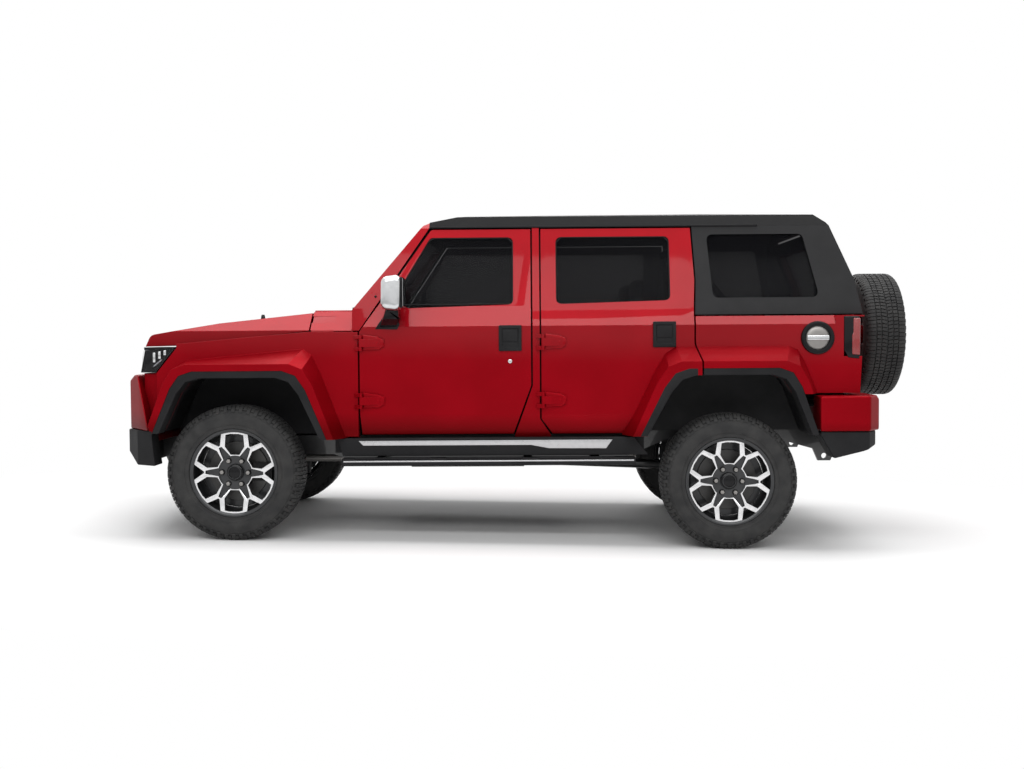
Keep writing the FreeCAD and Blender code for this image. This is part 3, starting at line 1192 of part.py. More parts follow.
def front_valance():
    """The black lower bumper with its corner guards."""
    high = S.bumper_low_z - S.seat_clearance
    trim_x = S.front_axle_x + S.front_arch_front - S.trim_width - S.gap
    side = [
        (S.bumper_x, high), (S.guard_x - S.bumper_crown / 2, high - S.wall / 4),
        (S.guard_x - S.bumper_crown / 2, high - S.wall * 1.3), (S.bumper_x + S.wall, S.valance_low_z),
        (S.valance_back_x, S.valance_low_z), (trim_x, S.front_arch_front_z - S.wall / 2), (trim_x, high),
    ]
    half = S.half_flare - S.skin
    block = prism("valance_side", "side", side, -half, half)
    plan = prism("valance_plan", "plan", nose_bow(S.guard_x, S.valance_back_x, half), S.valance_low_z - S.gap, high)
    frame_room = box("valance_room", (S.frame_front_x - S.seat_clearance, -S.half_track, S.valance_low_z - S.gap),
                     (S.bumper_back_x + S.wall, S.half_track, high + S.gap))
    return cut("valance", common("valance_form", block, plan), frame_room)


subpart("front_bumper", front_bumper())
subpart("front_valance", front_valance())


def rear_bumper():
    side = [
        (S.lamp_x - S.wall * 2, S.rear_bumper_high_z), (S.rear_bumper_x - S.skin, S.rear_bumper_high_z, 10),
        (S.rear_bumper_x, S.rear_bumper_high_z - S.skin), (S.rear_bumper_x, S.rear_bumper_low_z),
        (S.lamp_x - S.wall * 2, S.rear_bumper_low_z),
    ]
    beam = prism("rear_bumper_side", "side", side, -S.half_flare + S.gap, S.half_flare - S.gap)
    tail = S.tail_x - S.tailgate_wall
    inner = S.half_body - S.wall + S.gap
    bow = [
        (S.lamp_x - S.wall * 2, -S.half_flare + S.gap), (S.rear_bumper_x - S.wall, -S.half_flare + S.skin),
        (S.rear_bumper_x, -S.half_body), (S.rear_bumper_x, S.half_body),
        (S.rear_bumper_x - S.wall, S.half_flare - S.skin), (S.lamp_x - S.wall * 2, S.half_flare - S.gap),
        (S.lamp_x - S.wall * 2, inner), (tail, inner), (tail, -inner), (S.lamp_x - S.wall * 2, -inner),
    ]
    return common("rear_bumper_form", beam, prism("rear_bumper_plan", "plan", bow, S.sill_z, S.belt_z))


def rear_valance():
    high = S.rear_bumper_low_z - S.seat_clearance
    front = rear_axle_x + S.rear_arch_back + S.trim_width + S.gap
    side = [
        (front, S.rear_arch_foot_z), (front, high), (S.rear_bumper_x, high), (S.rear_bumper_x, high - S.wall),
        (S.tail_x, S.rear_valance_low_z + S.wall / 2), (front + S.wall, S.rear_valance_low_z),
    ]
    block = prism("rear_valance_side", "side", side, -S.half_flare + S.skin, S.half_flare - S.skin)
    tail = S.frame_rear_x + S.seat_clearance
    inner = S.half_body - S.wall + S.gap
    bow = [
        (front, -S.half_flare + S.skin), (S.rear_bumper_x - S.wall, -S.half_flare + S.skin * 2), (S.rear_bumper_x - S.skin, -S.half_body),
        (S.rear_bumper_x - S.skin, S.half_body), (S.rear_bumper_x - S.wall, S.half_flare - S.skin * 2),
        (front, S.half_flare - S.skin), (front, inner), (tail, inner), (tail, -inner), (front, -inner),
    ]
    return common("rear_valance_form", block, prism("rear_valance_plan", "plan", bow, S.valance_low_z, high + S.gap))


subpart("rear_bumper", rear_bumper())
subpart("rear_valance", rear_valance())

# Tailgate with the spare's carrier


def tailgate():
    low = S.tail_low_z + S.gap
    high = S.door_top_z
    pieces = []
    for stem, near, far, step in (("skin", as_size(0), S.skin, as_size(0)), ("core", S.skin - 1, S.tailgate_wall, S.edge_step)):
        line = rear_edge(low + step, high - step, near) + rear_edge(low + step, high - step, far)[::-1]
        pieces.append(prism(f"tailgate_{stem}", "side", line, -S.tailgate_half + step, S.tailgate_half - step))
    window = prism("tail_window", "across", [
        (-S.tail_window_half, S.window_low_z + S.window_radius, S.window_radius),
        (S.tail_window_half, S.window_low_z + S.window_radius, S.window_radius),
        (S.tail_window_half, S.tail_window_high_z, S.window_radius),
        (-S.tail_window_half, S.tail_window_high_z, S.window_radius)], S.tail_top_x - S.wall * 2, S.tail_belt_x + S.gap)
    carrier_end = S.spare_x - S.hub_depth - S.seat_clearance
    post = rod("spare_post", "x", S.tail_x - S.skin, carrier_end, S.carrier_radius, (0, S.spare_z))
    pin = (S.tail_pin_x, S.tailgate_half + S.tail_pin_out)
    hinges = []
    for stem, height in tail_hinges:
        half = S.strap_height / 2
        hinges.append(rod(f"tail_{stem}_barrel", "z", height - half, height + half, S.hinge_radius, pin))
        strap = [
            (S.tail_x - S.skin / 2, pin[1] - S.strap_length), (S.tail_pin_x + S.hinge_radius, pin[1] - S.strap_length),
            (S.tail_pin_x + S.hinge_radius, pin[1]), (S.tail_pin_x - S.hinge_radius, pin[1]),
            (S.tail_pin_x - S.hinge_radius, S.tailgate_half - S.gap), (S.tail_x - S.skin / 2, S.tailgate_half - S.gap)]
        hinges.append(prism(f"tail_{stem}_strap", "plan", strap, height - half, height + half))
    return cut("tailgate_sum", fuse("tailgate_whole", *pieces, post, *hinges), window)


subpart("tailgate", tailgate())


def tail_glass():
    low = S.window_low_z + S.window_radius + S.seat_clearance
    line = rear_edge(S.tail_low_z, S.door_top_z, S.glass_depth) + rear_edge(
        S.tail_low_z, S.door_top_z, S.glass_depth + S.glass)[::-1]
    sheet_wall = prism("tail_pane_side", "side", line, -S.tailgate_half, S.tailgate_half)
    edge = S.tail_window_half - S.seat_clearance
    high = S.tail_window_high_z - S.seat_clearance
    return common("tail_pane", sheet_wall, prism("tail_pane_edge", "across", [
        (-edge, low, S.window_radius), (edge, low, S.window_radius), (edge, high, S.window_radius),
        (-edge, high, S.window_radius)], S.tail_top_x - S.wall * 2, S.tail_belt_x + S.gap))


subpart("tailgate_glass", tail_glass())
lamp_gap = S.seat_clearance
tail_lamp = box("tail_lamp", (S.lamp_x + lamp_gap, -S.half_body - S.skin / 2, S.lamp_low_z + lamp_gap),
                (S.tail_belt_x - S.skin / 4, -S.half_body + S.lamp_width - lamp_gap, S.lamp_high_z - lamp_gap))
subpart("tail_lamps", pair("rear_lamps", tail_lamp))
fuel_cap = rod("fuel_cap", "y", -S.half_body - S.skin / 2, -S.half_body - S.seat_clearance, S.wall * 1.17,
               (S.lamp_x - S.wall * 1.9, S.hinge_high_z + S.strap_thickness))
subpart("fuel_filler", fuel_cap)

# Sill cladding and side steps

cladding_edge = [
    (S.step_front_x, S.cladding_low_z), (S.front_axle_x + S.front_arch_back + S.trim_width * 2.2, S.sill_z - S.seat_clearance),
    (rear_axle_x + S.rear_arch_front - S.trim_width * 1.6, S.sill_z - S.seat_clearance), (S.step_back_x + S.wall, S.cladding_low_z),
]
cladding = prism("cladding", "side", cladding_edge, -S.half_sill - S.cladding_width, -S.half_body + S.wall - S.seat_clearance)
subpart("sill_cladding", pair("claddings", cladding))


def side_step():
    low = S.step_z - S.step_height / 2
    high = S.step_z + S.step_height / 2
    board = prism("step_board", "across", [
        (-S.step_half, low + S.step_height / 4, 10), (-S.step_half, high - S.step_height / 4, 10), (-S.step_half + S.skin, high, 4),
        (-S.step_half + S.step_width, high), (-S.step_half + S.step_width, low)], S.step_front_x, S.step_back_x)
    arms = [box(f"step_arm_{index}", (x, -S.step_half + S.step_width - 1, low),
                (x + S.step_height, -S.rail_half - S.seat_clearance, S.step_z))
            for index, x in enumerate((S.step_front_x + S.wall * 2, S.pillar_x - S.wall, S.step_back_x - S.wall * 3))]
    return fuse("step", board, *arms)


subpart("side_steps", pair("steps", side_step()))

# Underside: engine, drive line, tank, exhaust and suspension that the frame carries

engine_low = S.engine_z
block = box("engine", (S.engine_x, -S.engine_width / 2, engine_low),
            (S.engine_x + S.engine_length * 0.6, S.engine_width / 2, engine_low + S.engine_height))
gearbox = box("gearbox", (S.engine_x, -S.engine_width / 4, engine_low - S.wall * 1.7),
              (S.engine_x + S.engine_length, S.engine_width / 4, S.sill_z - S.seat_clearance * 10))
feet = [box(f"engine_foot_{index}", (S.engine_x + S.wall, low, engine_low), (S.engine_x + S.wall * 2, high, engine_low + S.skin))
        for index, (low, high) in enumerate(((-S.rail_half + S.rail_width + S.seat_clearance, -S.engine_width / 4),
                                             (S.engine_width / 4, S.rail_half - S.rail_width - S.seat_clearance)))]
subpart("powertrain", fuse("powertrain_sum", block, gearbox, *feet))

tank = box("tank", (S.pillar_x + S.cross_radius * 2, S.cross_radius * 1.5, S.rail_low_z - S.wall / 2),
           (rear_axle_x + S.rear_arch_front - S.wall * 2, S.rail_half - S.rail_width - S.seat_clearance,
            S.rail_low_z + S.rail_depth))
subpart("fuel_tank", tank)
pipe_z = S.rail_low_z + S.rail_depth / 2 - S.cross_radius - S.damper_radius - S.seat_clearance
muffler = rod("muffler", "x", S.door_front_x + S.wall * 3, S.pillar_x - S.cross_radius * 2, S.wall * 0.8,
              (-S.rail_half / 2, pipe_z))
front_pipe = rod("front_pipe", "x", S.engine_x + S.wall, S.door_front_x + S.wall * 3, S.damper_radius, (-S.rail_half / 2, pipe_z))
back_pipe = rod("back_pipe", "x", S.pillar_x - S.wall * 2, rear_axle_x + S.rear_arch_front, S.damper_radius, (-S.rail_half / 2, pipe_z))
subpart("exhaust", fuse("exhaust_sum", muffler, front_pipe, back_pipe))
lift = (lifted(rear_axle_x, as_size(0))).value
pad_top = S.tyre_radius + S.axle_tube_radius + S.rim_wall - lift + S.seat_clearance * 6
spring = rod("spring", "z", pad_top, S.rail_high_z - S.seat_clearance, S.spring_radius, (rear_axle_x, spring_y))
subpart("rear_springs", pair("springs", spring))


def liner(name, low_corners, high_corners, outer, inner):
    """A thin wheel housing that follows the arch behind the side panel."""
    return prism(name, "side", high_corners + low_corners[::-1], outer, inner)


apron_y = -S.rail_half - S.liner
apron_low = front_rail_z + S.rail_depth + S.floor_plate
front_liner = liner("front_liner", front_arch(S.liner_margin), front_arch(S.liner_margin + S.liner),
                    -S.half_body + S.fender_wall + S.seat_clearance, apron_y)
apron = prism("front_apron", "side", front_arch(S.liner_margin + 1, apron_low), apron_y - S.liner, apron_y)
front_housing = fuse("front_housing", front_liner, apron)
rear_liner = liner("rear_liner", rear_arch(S.liner_margin, S.sill_z + S.floor_plate),
                   rear_arch(S.liner_margin + S.liner, S.sill_z + S.floor_plate),
                   -S.half_body + S.wall + S.seat_clearance, -S.rail_half - S.wall - S.floor_plate - S.seat_clearance)
subpart("wheel_liners", group("liners", front_housing, mirror("front_housing_right", front_housing), rear_liner,
                              mirror("rear_liner_right", rear_liner)))

# Cabin


def seat(name, width, place, front_x, back_x):
    """A cushion and a leaning back, seen from the side as one L."""
    floor_top = S.sill_z + S.floor_plate + S.seat_clearance
    low = S.seat_z - S.seat_thickness
    corners = [
        (front_x, low, 20), (front_x, S.seat_z, 40), (back_x - S.seat_thickness, S.seat_z - S.skin, 20),
        (back_x - S.seat_thickness + S.seat_lean, S.seat_z + S.seat_height, 40),
        (back_x + S.seat_lean, S.seat_z + S.seat_height, 40), (back_x, low, 20),
    ]
    pad = prism(name, "side", corners, place - width / 2, place + width / 2)
    base = box(name + "_base", (front_x + S.wall, place - width / 3, floor_top), (back_x - S.wall, place + width / 3, low + 1))
    return fuse(name + "_sum", pad, base)


front_seat = seat("front_seat", S.seat_width, -S.seat_place, S.seat_front_x, S.seat_front_x + S.seat_depth)
bench = seat("rear_bench", S.bench_half * 2, as_size(0), S.seat_back_x - S.seat_depth + S.wall, S.seat_back_x + S.wall)
subpart("seats", group("cabin_seats", front_seat, mirror("front_seat_right", front_seat), bench))


def column_turn():
    """Turns the Z axis to the steering column's line, up and back to the driver."""
    return Rotation(Vector(0, 0, 1), 90) * Rotation(Vector(1, 0, 0), 90 - S.wheel_lean.value)


def dashboard():
    start = S.dash_x
    line = [
        (start, S.dash_z, 10), (start + S.dash_depth, S.dash_z - S.skin, 40), (start + S.dash_depth, S.dash_z - S.dash_height, 40),
        (start, S.dash_z - S.dash_height * 1.3),
    ]
    back = S.door_front_x - S.wall * 2 + S.floor_plate + S.seat_clearance
    top = prism("dash_top", "side", line, -S.half_body + S.wall * 2, S.half_body - S.wall * 2)
    mount = box("dash_mount", (back, -S.rail_half, S.dash_z - S.dash_height * 1.2), (start + S.skin, S.rail_half, S.dash_z - S.wall * 1.2))
    boss = S.skin * 2 + S.seat_clearance
    turn = column_turn()
    foot, head = (turn.multVec(Vector(0, 0, -reach.value)) for reach in (boss + S.wheel_rim_radius, boss))
    centre = Vector(S.wheel_x.value, -S.seat_place.value, S.wheel_z.value)
    column = bar("column", centre + foot, centre + head, S.damper_radius)
    console = box("console", (start + S.skin, -S.wall, S.sill_z + S.floor_plate + S.seat_clearance),
                  (S.seat_front_x + S.seat_depth * 0.7, S.wall, S.seat_z - S.wall))
    return fuse("dash", top, mount, column, console)


subpart("dashboard", dashboard())


def steering_wheel():
    """The steering wheel on its column, drawn about its own axis and then leant back."""
    tube = S.wheel_rim_tube
    ring = cut("wheel_ring", flats("ring_outer", "z", -tube, tube, S.wheel_rim_radius + tube),
               flats("ring_inner", "z", -tube, tube, S.wheel_rim_radius - tube))
    spokes = [box(f"wheel_spoke_{index}", low, high) for index, (low, high) in enumerate((
        ((-S.wheel_rim_radius, -S.wheel_rim_tube, -S.skin / 4), (S.wheel_rim_radius, S.wheel_rim_tube, S.skin / 4)),
        ((-S.wheel_rim_tube, -S.wheel_rim_radius, -S.skin / 4), (S.wheel_rim_tube, 0, S.skin / 4))))]
    boss = flats("wheel_boss", "z", -S.skin * 2, S.skin, S.wheel_rim_radius * 0.35, SMALL_FLATS)
    wheel = fuse("wheel_sum", ring, *spokes, boss)
    return wheel


steering = subpart("steering_wheel", steering_wheel(), raked=False)
wheel_centre = Vector(S.wheel_x.value, -S.seat_place.value, S.wheel_z.value)
steering.Placement = rake * Placement(wheel_centre, column_turn())


def roll_bar():
    """The rear hoop on the wheel housings, with a stay from its top on each side."""
    housing_top = S.arch_top_z + S.liner_margin + S.liner + S.floor_plate + S.seat_clearance * 2
    hoop_x = rear_axle_x + S.rear_arch_shoulder + S.wall
    side_y = -S.half_belt + S.wall * 2.4
    top_z = S.rail_z - S.wall
    post = rod("hoop_post", "z", housing_top, top_z, S.damper_radius, (hoop_x, side_y))
    stay = bar("hoop_stay", (hoop_x, side_y, top_z - S.wall),
               (rear_axle_x + S.rear_arch_back_shoulder, side_y, housing_top + S.damper_radius), S.damper_radius * 0.8)
    beam = rod("hoop_top", "y", side_y, -side_y, S.damper_radius, (hoop_x, top_z))
    return fuse("hoop", post, stay, mirror("hoop_right", post), mirror("stay_right", stay), beam)


subpart("roll_bar", roll_bar())
shaft_start = (S.engine_x + S.engine_length + S.seat_clearance * 2, 0, S.engine_z - S.wall * 1.5)
shaft_end = (rear_axle_x - S.diff_radius * 1.4 - S.seat_clearance, 0, S.tyre_radius - lift)
subpart("prop_shaft", bar("rear_shaft", shaft_start, shaft_end, S.cross_radius * 0.8))

doc.recompute()
for item in doc.Objects:
    if "Invalid" in item.State or "Error" in item.State:
        raise RuntimeError(f"{item.Name} failed: {item.State}")
for item in subparts:
    if item.Shape.isNull() or not item.Shape.isValid():
        raise RuntimeError(f"{item.Label} is not a valid shape")
    item.Shape.exportStep(f"parts/{item.Label}.step")
    size = item.Shape.BoundBox
    print(f"{item.Label:22s} solids {len(item.Shape.Solids)} x {size.XMin:8.1f} {size.XMax:8.1f} "
          f"y {size.YMin:8.1f} {size.YMax:8.1f} z {size.ZMin:7.1f} {size.ZMax:7.1f}")
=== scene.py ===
"""A lifted off-road 4x4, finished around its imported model. Metres, +Z up, nose towards -X."""
import json
import math

import bmesh
import bpy
from mathutils import Matrix, Vector


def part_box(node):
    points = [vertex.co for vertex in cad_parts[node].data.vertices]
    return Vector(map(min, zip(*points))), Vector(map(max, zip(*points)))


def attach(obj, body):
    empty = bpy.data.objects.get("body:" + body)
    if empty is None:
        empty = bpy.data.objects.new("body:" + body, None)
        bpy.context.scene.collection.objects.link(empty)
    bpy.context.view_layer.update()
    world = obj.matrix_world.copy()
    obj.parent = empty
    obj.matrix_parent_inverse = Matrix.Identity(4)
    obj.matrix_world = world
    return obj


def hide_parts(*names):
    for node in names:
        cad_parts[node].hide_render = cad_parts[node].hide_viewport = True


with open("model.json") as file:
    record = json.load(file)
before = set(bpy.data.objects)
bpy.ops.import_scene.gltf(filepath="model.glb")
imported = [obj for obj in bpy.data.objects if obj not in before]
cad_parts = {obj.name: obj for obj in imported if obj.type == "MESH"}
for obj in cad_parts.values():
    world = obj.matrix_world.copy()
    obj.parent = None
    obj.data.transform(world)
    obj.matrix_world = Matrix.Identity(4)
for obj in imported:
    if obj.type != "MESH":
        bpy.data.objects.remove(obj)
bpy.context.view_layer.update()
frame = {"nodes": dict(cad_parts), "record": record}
scene = bpy.context.scene


def at(place):
    return Matrix.Translation(place)


FRONT_AXLE = -1.6075
REAR_AXLE = 1.1375
HALF_TRACK = 0.8
WHEEL_RADIUS = 0.3755
RAKE_TURN = Matrix.Rotation(-math.radians(1.3), 4, "Y")
RAKE = at((FRONT_AXLE, 0, 0)) @ RAKE_TURN @ at((-FRONT_AXLE, 0, 0))
MIRROR = Matrix.Scale(-1, 4, (0, 1, 0))
SIDE_Y = 0.845
UPPER_Y = 0.802
UPPER_LOW_Z = 1.18
GLASS_LOW_Z = 1.29
SIDE_LEAN = 0.22
DOORS = {"front": ("front_left_door", "front_right_door"), "rear": ("rear_left_door", "rear_right_door")}
WELD = 0.00002
NODE_WELD = 0.00003
SMOOTH_ANGLE = 35


# Camera

CAMERA_PLACE = (0, -7.511, 1.151)
camera = bpy.data.objects.new("view", bpy.data.cameras.new("view"))
scene.collection.objects.link(camera)
scene.camera = camera
YAW, PITCH, ROLL = -0.0111, -0.0392, 0.0159
ahead = Vector((math.sin(YAW) * math.cos(PITCH), math.cos(YAW) * math.cos(PITCH), math.sin(PITCH)))
across = Vector((math.cos(YAW), -math.sin(YAW), 0))
upward = across.cross(ahead)
right = across * math.cos(ROLL) + upward * math.sin(ROLL)
top = upward * math.cos(ROLL) - across * math.sin(ROLL)
camera.matrix_world = at(CAMERA_PLACE) @ Matrix((right, top, -ahead)).transposed().to_4x4()
camera.data.sensor_width = 36
camera.data.lens = 42.19
camera.data.clip_end = 100


# Finishes


class Value:
    """A socket of a finish's nodes that can be added to or multiplied."""

    def __init__(self, finish, socket):
        self.finish, self.socket = finish, socket

    def __add__(self, other):
        return self.finish.node("Math", {"operation": "ADD"}, [self, other])

    def __mul__(self, other):
        return self.finish.node("Math", {"operation": "MULTIPLY"}, [self, other])


class Finish:
    """A procedural material, built around one principled shader."""

    def __init__(self, name, **constants):
        self.material = bpy.data.materials.new(name)
        self.material.use_nodes = True
        self.tree = self.material.node_tree
        self.shader = self.tree.nodes["Principled BSDF"]
        self.set(**constants)
        place = self.tree.nodes.new("ShaderNodeTexCoord")
        self.place = Value(self, place.outputs["Object"])

    def node(self, kind, settings=None, values=(), output=0):
        made = self.tree.nodes.new("ShaderNode" + kind)
        for key, value in (settings or {}).items():
            setattr(made, key, value)
        pairs = values.items() if isinstance(values, dict) else enumerate(values)
        for key, value in pairs:
            if isinstance(value, Value):
                self.tree.links.new(value.socket, made.inputs[key])
            else:
                made.inputs[key].default_value = value
        return Value(self, made.outputs[output])

    def set(self, **sockets):
        for name, value in sockets.items():
            socket = self.shader.inputs[name.replace("_", " ").title().replace("Ior", "IOR")]
            if isinstance(value, Value):
                self.tree.links.new(value.socket, socket)
            elif hasattr(socket.default_value, "__len__") and len(value) == 3:
                socket.default_value = (*value, 1)
            else:
                socket.default_value = value

    def noise(self, scale, detail=2):
        return self.node("TexNoise", None, {
            "Vector": self.place, "Scale": scale, "Detail": detail})

    def cells(self, scale):
        return self.node("TexVoronoi", None, {"Vector": self.place, "Scale": scale})

    def bands(self, axis, scale):
        return self.node("TexWave", {"bands_direction": axis}, {"Vector": self.place, "Scale": scale})

    def part(self, axis):
        return self.node("SeparateXYZ", None, [self.place], "XYZ".index(axis))

    def ramp(self, value, low=0.3, high=0.7, start=0.0, end=1.0):
        return self.node("MapRange", None, [value, low, high, start, end])

    def blend(self, mask, low, high):
        """One colour where the mask is 0, the other where it is 1."""
        low, high = [colour if isinstance(colour, Value) else (*colour, 1) for colour in (low, high)]
        return self.node("Mix", {"data_type": "RGBA"}, {0: mask, 6: low, 7: high}, 2)

    def bump(self, height, strength=0.3, distance=0.001):
        self.set(normal=self.node("Bump", None, {
            "Strength": strength, "Distance": distance, "Height": height}))


def paint():
    """Crimson paint, darker at the sills by a painted shade, and glossier above the belt line."""
    made = Finish("crimson_paint", metallic=0.45, specular_ior_level=0.05, coat_roughness=0.04)
    flake = made.cells(2600)
    height = made.part("Z")
    shade = made.ramp(made.noise(3.1), 0.35, 0.65)
    crimson = made.blend(shade, (0.235, 0.001, 0.005), (0.265, 0.0012, 0.006))
    # Painted shade: below about 0.62 to 0.72 m the base colour turns to a darker red, standing in for the
    # shade on the low panels.
    made.set(base_color=made.blend(made.ramp(height, 0.62, 0.72), (0.13, 0.0005, 0.002), crimson),
             roughness=made.ramp(flake, 0.0, 0.6, 0.3, 0.42),
             coat_weight=made.ramp(height, 1.02, 1.16, 0.02, 0.27))
    made.bump(made.noise(60, 3), 0.02, 0.0006)
    return made.material


def plastic(name, colour, rough=0.6, grain=900, depth=0.25, dust=0.02):
    """Moulded plastic with a leather-like grain."""
    made = Finish(name, specular_ior_level=0.1)
    cells = made.cells(grain)
    cloud = made.noise(7, 4)
    pale = tuple(part + dust for part in colour)
    made.set(base_color=made.blend(made.ramp(cloud, 0.35, 0.7), colour, pale),
             roughness=made.ramp(cloud, 0.3, 0.7, rough - 0.06, rough + 0.06))
    made.bump(cells, depth, 0.0006)
    return made.material


def smooth(name, colour, rough, metallic=0.0, coat=0.0, streaks=0.0, gleam=0.5):
    """A smooth hard surface: plating, gloss plastic or machined metal."""
    made = Finish(name, metallic=metallic, coat_weight=coat, specular_ior_level=gleam)
    fine = made.noise(40, 4)
    made.set(base_color=made.blend(made.ramp(fine), tuple(part * 0.92 for part in colour), colour),
             roughness=made.ramp(fine, 0.3, 0.7, max(rough - 0.03, 0.02), rough + 0.03))
    if streaks:
        made.bump(made.noise(400, 1), streaks, 0.0003)
    return made.material


def tyre_rubber():
    made = Finish("tyre_rubber", specular_ior_level=0.25)
    cloud = made.noise(14, 5)
    fine = made.noise(300, 3)
    dusty = made.ramp(cloud, 0.35, 0.7)
    made.set(base_color=made.blend(dusty, (0.02, 0.02, 0.0205), (0.036, 0.0355, 0.035)),
             roughness=made.ramp(fine, 0.3, 0.7, 0.55, 0.75))
    made.bump(fine, 0.25, 0.0006)
    return made.material


def pane(name, alpha, gleam, scales, rough, *tints):
    """A see-through pane, with faint clouds in its tint and gloss."""
    made = Finish(name, alpha=alpha, ior=1.5, specular_ior_level=gleam)
    tint = made.ramp(made.noise(scales[0]))
    made.set(base_color=made.blend(tint, *tints),
             roughness=made.ramp(made.noise(scales[1]), 0.3, 0.7, *rough))
    return made.material


def red_lens():
    made = Finish("red_lens", coat_weight=1.0, coat_roughness=0.03)
    ribs = made.bands("Z", 60)
    made.set(base_color=made.blend(made.ramp(ribs), (0.16, 0.004, 0.005), (0.3, 0.012, 0.012)),
             roughness=made.ramp(ribs, 0, 1, 0.12, 0.25))
    made.bump(ribs, 0.2, 0.001)
    return made.material


def seat_cloth():
    """Cloth with its threads seen along and upright."""
    made = Finish("seat_cloth", sheen_weight=0.25)
    threads = 520 / 6
    weave = made.bands("X", threads) * 0.5 + made.bands("Z", threads) * 0.5
    made.set(base_color=made.blend(made.ramp(weave, 0.2, 0.8), (0.012, 0.012, 0.013), (0.03, 0.03, 0.032)),
             roughness=made.ramp(made.noise(12), 0.3, 0.7, 0.75, 0.9))
    made.bump(weave, 0.3, 0.0008)
    return made.material


PAINT = paint()
BLACK_PAINT = smooth("black_paint", (0.012, 0.012, 0.013), 0.32, coat=0.6)
ROOF = plastic("textured_roof", (0.024, 0.024, 0.025), 0.62, 1500, 0.35, 0.006)
ROOF_TOP = smooth("roof_black", (0.008, 0.008, 0.0085), 0.5, gleam=0.03)
TRIM = plastic("grained_trim", (0.013, 0.013, 0.014), 0.58, 900, 0.3, 0.006)
GLOSS = smooth("gloss_black", (0.006, 0.006, 0.007), 0.16, coat=0.12, gleam=0.15)
SILVER = smooth("satin_silver", (0.58, 0.59, 0.6), 0.28, 0.9)
CHROME = smooth("bright_plating", (0.78, 0.79, 0.8), 0.1, 1.0)
MACHINED = smooth("machined_face", (0.72, 0.72, 0.73), 0.26, 0.95, 0.3, 0.08)
CHROME_CAP = smooth("mirror_silver", (0.62, 0.63, 0.64), 0.2, 0.95, 0.4)
BRIGHT = smooth("bright_strip", (0.5, 0.5, 0.51), 0.3, 0.9)
LAMP_GLOW = smooth("lamp_lens", (0.4, 0.42, 0.45), 0.1, 0.3, 0.3)
DARK_RIM = smooth("dark_rim", (0.03, 0.031, 0.033), 0.35, 0.6, 0.3)
RUBBER = tyre_rubber()
CAST = plastic("cast_iron", (0.03, 0.03, 0.031), 0.7, 700, 0.5, 0.03)
ENGINE = plastic("engine_black", (0.03, 0.031, 0.033), 0.5, 300, 0.2, 0.02)
PIPE = smooth("steel_pipe", (0.26, 0.25, 0.24), 0.42, 0.85, 0, 0.2)
BRAKE = smooth("ground_iron", (0.07, 0.069, 0.068), 0.42, 0.8, 0, 0.15)
GLASS = pane("tinted_glass", 0.72, 0.02, (1.4, 3), (0.03, 0.07),
             (0.004, 0.004, 0.005), (0.008, 0.008, 0.009))
COVER = pane("clear_cover", 0.1, 0.3, (2, 5), (0.02, 0.06), (0.03, 0.031, 0.033), (0.05, 0.051, 0.054))
RED_LENS = red_lens()
FABRIC = seat_cloth()
CABIN = plastic("cabin_grain", (0.02, 0.02, 0.021), 0.6, 700, 0.3, 0.01)
CORE = plastic("radiator_core", (0.02, 0.02, 0.021), 0.5, 500, 0.4, 0.01)
SLOT_FINISH = {
    "body_paint": PAINT, "black_paint": BLACK_PAINT, "hardtop": ROOF, "dark_trim": TRIM,
    "gloss_black": GLOSS, "silver": SILVER, "tyre": RUBBER, "rim": DARK_RIM, "cast": CAST,
    "engine": ENGINE, "pipe": PIPE, "glass": GLASS, "clear_glass": COVER, "lamp": COVER,
    "red_lens": RED_LENS, "fabric": FABRIC, "cabin": CABIN, "core": CORE, "cap": SILVER}
FINISH_SLOT = {finish.name: slot for slot, finish in SLOT_FINISH.items()}
FINISH_SLOT.update({finish.name: "silver" for finish in (SILVER, CHROME, CHROME_CAP, BRIGHT)})
FINISH_SLOT[LAMP_GLOW.name] = "lamp"
node_slot = {part["node"]: part["material_slot"] for part in frame["record"]["subparts"]}


# Tools


def deselect():
    bpy.ops.object.select_all(action="DESELECT")


def newest(name):
    """The piece that the last operator made, with its name."""
    made = bpy.context.object
    made.name = name
    return made


def only(piece):
    """Makes a piece the one that the next operators act on."""
    deselect()
    bpy.context.view_layer.objects.active = piece
    piece.select_set(True)


def edit(piece):
    only(piece)
    bpy.ops.object.mode_set(mode="EDIT")
    bpy.ops.mesh.select_all(action="SELECT")


def leave():
    bpy.ops.object.mode_set(mode="OBJECT")


def pick(piece, kind, test):
    """In edit mode, selects the points, edges or faces that pass a test."""
    shape = bmesh.from_edit_mesh(piece.data)
    bpy.context.tool_settings.mesh_select_mode = (kind == "verts", kind == "edges", kind == "faces")
    bpy.ops.mesh.select_all(action="DESELECT")
    chosen = [item for item in getattr(shape, kind) if test(item)]
    for item in chosen:
        item.select_set(True)
    shape.select_flush_mode()
    bmesh.update_edit_mesh(piece.data)


def nudge(piece, test, way):
    """Moves the points of a piece that pass a test."""
    edit(piece)
    pick(piece, "verts", lambda point: test(point.co))
    bpy.ops.transform.translate(value=way)
    leave()


def clean():
    """In edit mode, welds the points that meet and turns every face outwards."""
    bpy.ops.mesh.select_all(action="SELECT")
    bpy.ops.mesh.remove_doubles(threshold=WELD)
    bpy.ops.mesh.normals_make_consistent(inside=False)


def ring(name, points):
    """A closed outline through the given points, with no face."""
    deselect()
    bpy.ops.mesh.primitive_circle_add(vertices=len(points), fill_type="NOTHING")
    made = newest(name)
    for vertex, point in zip(made.data.vertices, points):
        vertex.co = point
    return made


